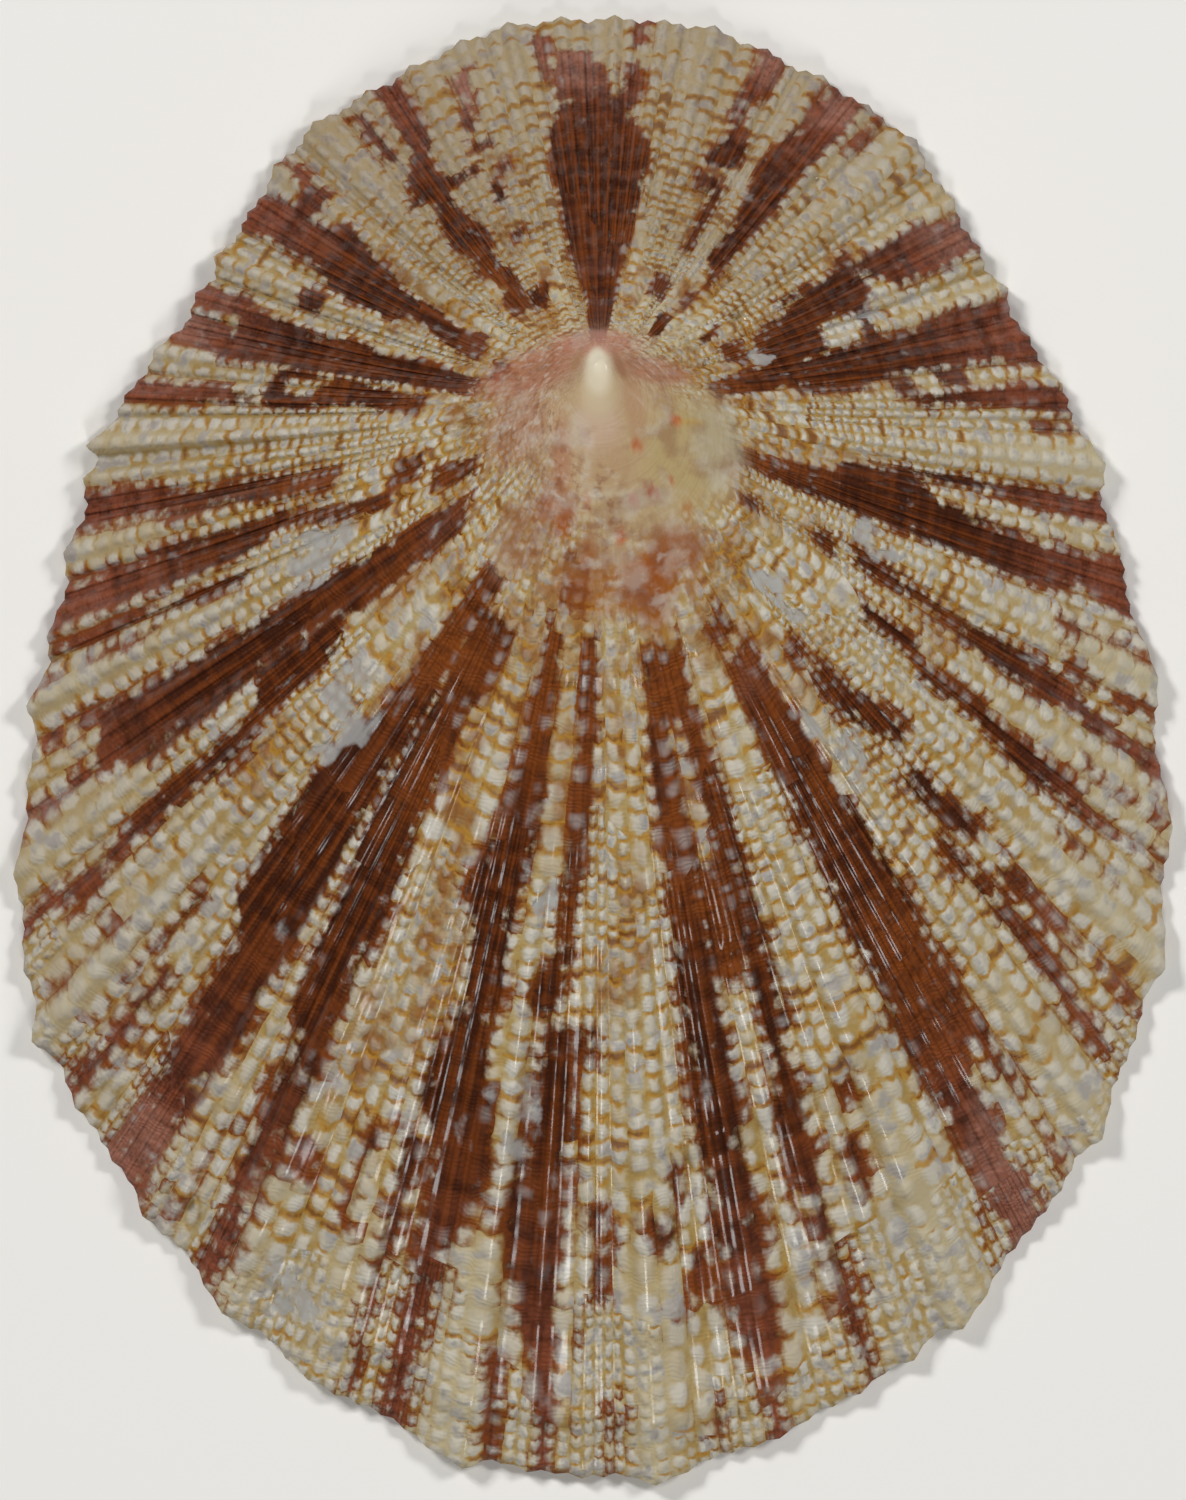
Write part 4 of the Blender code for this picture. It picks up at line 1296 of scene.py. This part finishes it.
        # Beads run nearly straight across the ribs, and their length keeps step with the riblets' width.
        flat = ColourField(self.form).polar(points[:, 0], points[:, 1])[1]
        share = self.flat_share * smooth_step(*self.flat_window, growths[row]) * (row < self.first_rim)
        grown = np.maximum(growths[row] * (1.0 - share) + flat * share, 0.02)
        turned = np.log(grown) + self.reach_share * np.log(self.form.outline(angle) / self.mean_reach)
        beads = self.bead_count + (self.bead_rate - self.bead_swing * np.cos(np.radians(angle))) * turned
        loops, starts = self.corners(mesh)
        face = np.repeat(np.arange(len(starts)), np.diff(np.append(starts, len(loops))))
        # Corners past the closing line count on by a full turn, and those at the two tips take the others' mean.
        count = len(self.riblets) - 1
        across = riblet[loops]
        across = np.where(np.maximum.reduceat(across, starts)[face] - across > count / 2, across + count, across)
        tip = np.isin(row[loops], (0, self.row_count - 1))
        others = np.add.reduceat(np.where(tip, 0.0, across), starts) / np.add.reduceat((~tip).astype(float), starts)
        across = np.where(tip, others[face], across)
        layer = mesh.uv_layers.new(name="growth")
        layer.uv.foreach_set("vector", np.column_stack((across + 0.5, beads[loops])).astype(np.float32).ravel())

    def paint(self, mesh: bpy.types.Mesh, points: Floats) -> None:
        """Writes the colour fields as attributes.

        Args:
            mesh: The mesh.
            points: Places of the vertices in millimetres.
        """
        field = ColourField(self.form)
        x, y = points[:, 0], points[:, 1]
        angle, growth = field.polar(x, y)
        turn = np.radians(angle)
        ragged = (angle + self.ragged_degrees * Wander(61, 120, 40).at(angle, growth),
                  growth + self.ragged_growth * Wander(67, 180, 30).at(angle, growth))
        wave, strength = self.form.ribs(angle)
        rib = np.minimum(strength * wave, 1.0)
        front, back = smooth_step(0.35, 0.9, np.cos(turn)), smooth_step(0.2, 0.7, -np.cos(turn))
        left, late = smooth_step(0.2, 0.9, -np.sin(turn)), smooth_step(0.62, 0.9, growth)
        reach = np.hypot(x - self.form.rib_centre[0], y - self.form.rib_centre[1])
        width = reach * np.radians(self.form.riblet_mean + self.form.riblet_swing * np.cos(turn))
        widened = width - self.second_split_width + 0.12 * Wander(73, 40, 6).at(angle, growth)
        dark = field.dark(angle, growth) - 0.35 * back * smooth_step(0.72, 0.95, growth)
        # Fields rise and fade over growth, from 0 at the apex to 1 at the rim, and over the sides of the shell.
        values = {tint.value: field.patch(tint, *ragged) for tint in Tint} | {
            "grown": growth,
            "reach": reach,
            "widened": widened,
            "split": growth - self.first_split_growth + 0.16 * Wander(71, 40, 6).at(angle, growth),
            "dark": dark * (1.2 + 0.4 * smooth_step(-0.1, 0.1, widened)),
            # dim lays a darker tan over the front and, more faintly, over the left side, from about a third of the
            # growth outwards.
            "dim": 0.38 * front * smooth_step(0.3, 0.5, growth) + 0.16 * left * smooth_step(0.3, 0.8, growth),
            "young": 1.0 - smooth_step(0.17, 0.34, growth),
            "cream": np.clip(0.25 + 0.7 * front + 0.8 * late * rib, 0.0, 1.0),
            "net": 0.08 + 0.24 * front - 0.38 * late - (0.25 + 0.35 * late) * rib * smooth_step(0.3, 0.55, growth),
            "loose": 0.8 - 0.25 * front,
            "rim_red": 0.75 * smooth_step(0.66, 1.0, growth),
            "threaded": self.smooth_tip.beyond(x, y),
            "lined": self.smooth_crown.beyond(x, y) * self.smooth_side.beyond(x, y),
            # The foot muscle's scar is a horseshoe, open at the front.
            "scar": smooth_step(0.44, 0.47, growth) * (1.0 - smooth_step(0.56, 0.60, growth))
            * smooth_step(18.0, 30.0, np.abs(wrapped(angle))),
        }
        for name, value in values.items():
            mesh.attributes.new(name, "FLOAT", "POINT").data.foreach_set("value", value.astype(np.float32))
        mesh.attributes.new("crown_colour", "FLOAT_COLOR", "POINT").data.foreach_set(
            "color", field.crown(x, y).astype(np.float32).ravel())


@dataclass(frozen=True)
class Studio:
    """Pale floor, soft lights and the camera that looks straight down."""

    photo_height: float = 71.475
    distance: float = 1000.0
    sensor: float = 36.0
    floor_colour: str = "E9E7E3"
    floor_half_width: float = 3.0
    surround: float = 0.1

    def build(self) -> None:
        """Builds the studio."""
        self.floor()
        self.lights()
        self.camera()

    def floor(self) -> None:
        """A wide sheet of paper."""
        bm = bmesh.new()
        bmesh.ops.create_grid(bm, x_segments=1, y_segments=1, size=self.floor_half_width)
        mesh = bpy.data.meshes.new("floor")
        bm.to_mesh(mesh)
        bm.free()
        floor = bpy.data.objects.new("floor", mesh)
        bpy.context.scene.collection.objects.link(floor)
        # Uncoated paper has rough fibres, so it is even and gives no glint.
        b = Board("matte paper")
        b.feed(b.shader, {"Base Color": linear(self.floor_colour), "Roughness": 0.9})
        mesh.materials.append(b.material)
        log.info("floor: one sheet")

    def lights(self) -> None:
        """Three soft lamps about the shell, and a dim even surround."""
        scene = bpy.context.scene
        for name, place, size, power in (
            ("key", (-0.45, 0.40, 0.55), 0.16, 3.8),
            ("fill", (0.50, 0.25, 0.55), 0.16, 2.6),
            ("back", (0.05, -0.60, 0.60), 0.20, 2.1),
        ):
            data = bpy.data.lights.new(name, "AREA")
            data.size = size
            data.energy = power
            lamp = bpy.data.objects.new(name, data)
            lamp.location = place
            lamp.rotation_euler = (-lamp.location).to_track_quat("-Z", "Y").to_euler()
            scene.collection.objects.link(lamp)
        world = bpy.data.worlds.new("surround")
        world.use_nodes = True
        background = world.node_tree.nodes["Background"]
        background.inputs["Color"].default_value = (1.0, 1.0, 1.0, 1.0)
        background.inputs["Strength"].default_value = self.surround
        scene.world = world
        scene.view_settings.view_transform = "Standard"

    def camera(self) -> None:
        """A long lens from above, which frames the rim as the photograph does."""
        data = bpy.data.cameras.new("camera")
        data.sensor_width = self.sensor
        data.lens = self.sensor * self.distance / self.photo_height
        data.clip_start, data.clip_end = 0.05, 20.0
        camera = bpy.data.objects.new("camera", data)
        camera.location = (0.0, 0.0, self.distance * MM)
        bpy.context.scene.collection.objects.link(camera)
        bpy.context.scene.camera = camera


def main() -> None:
    """Builds the shell and the studio."""
    logging.basicConfig(level=logging.INFO, format="%(name)s: %(message)s")
    low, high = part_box("shell")
    shell = LimpetShell(low=tuple(low), high=tuple(high)).build()
    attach(shell, "root")
    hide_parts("shell")
    Studio().build()


if __name__ == "__main__":
    main()
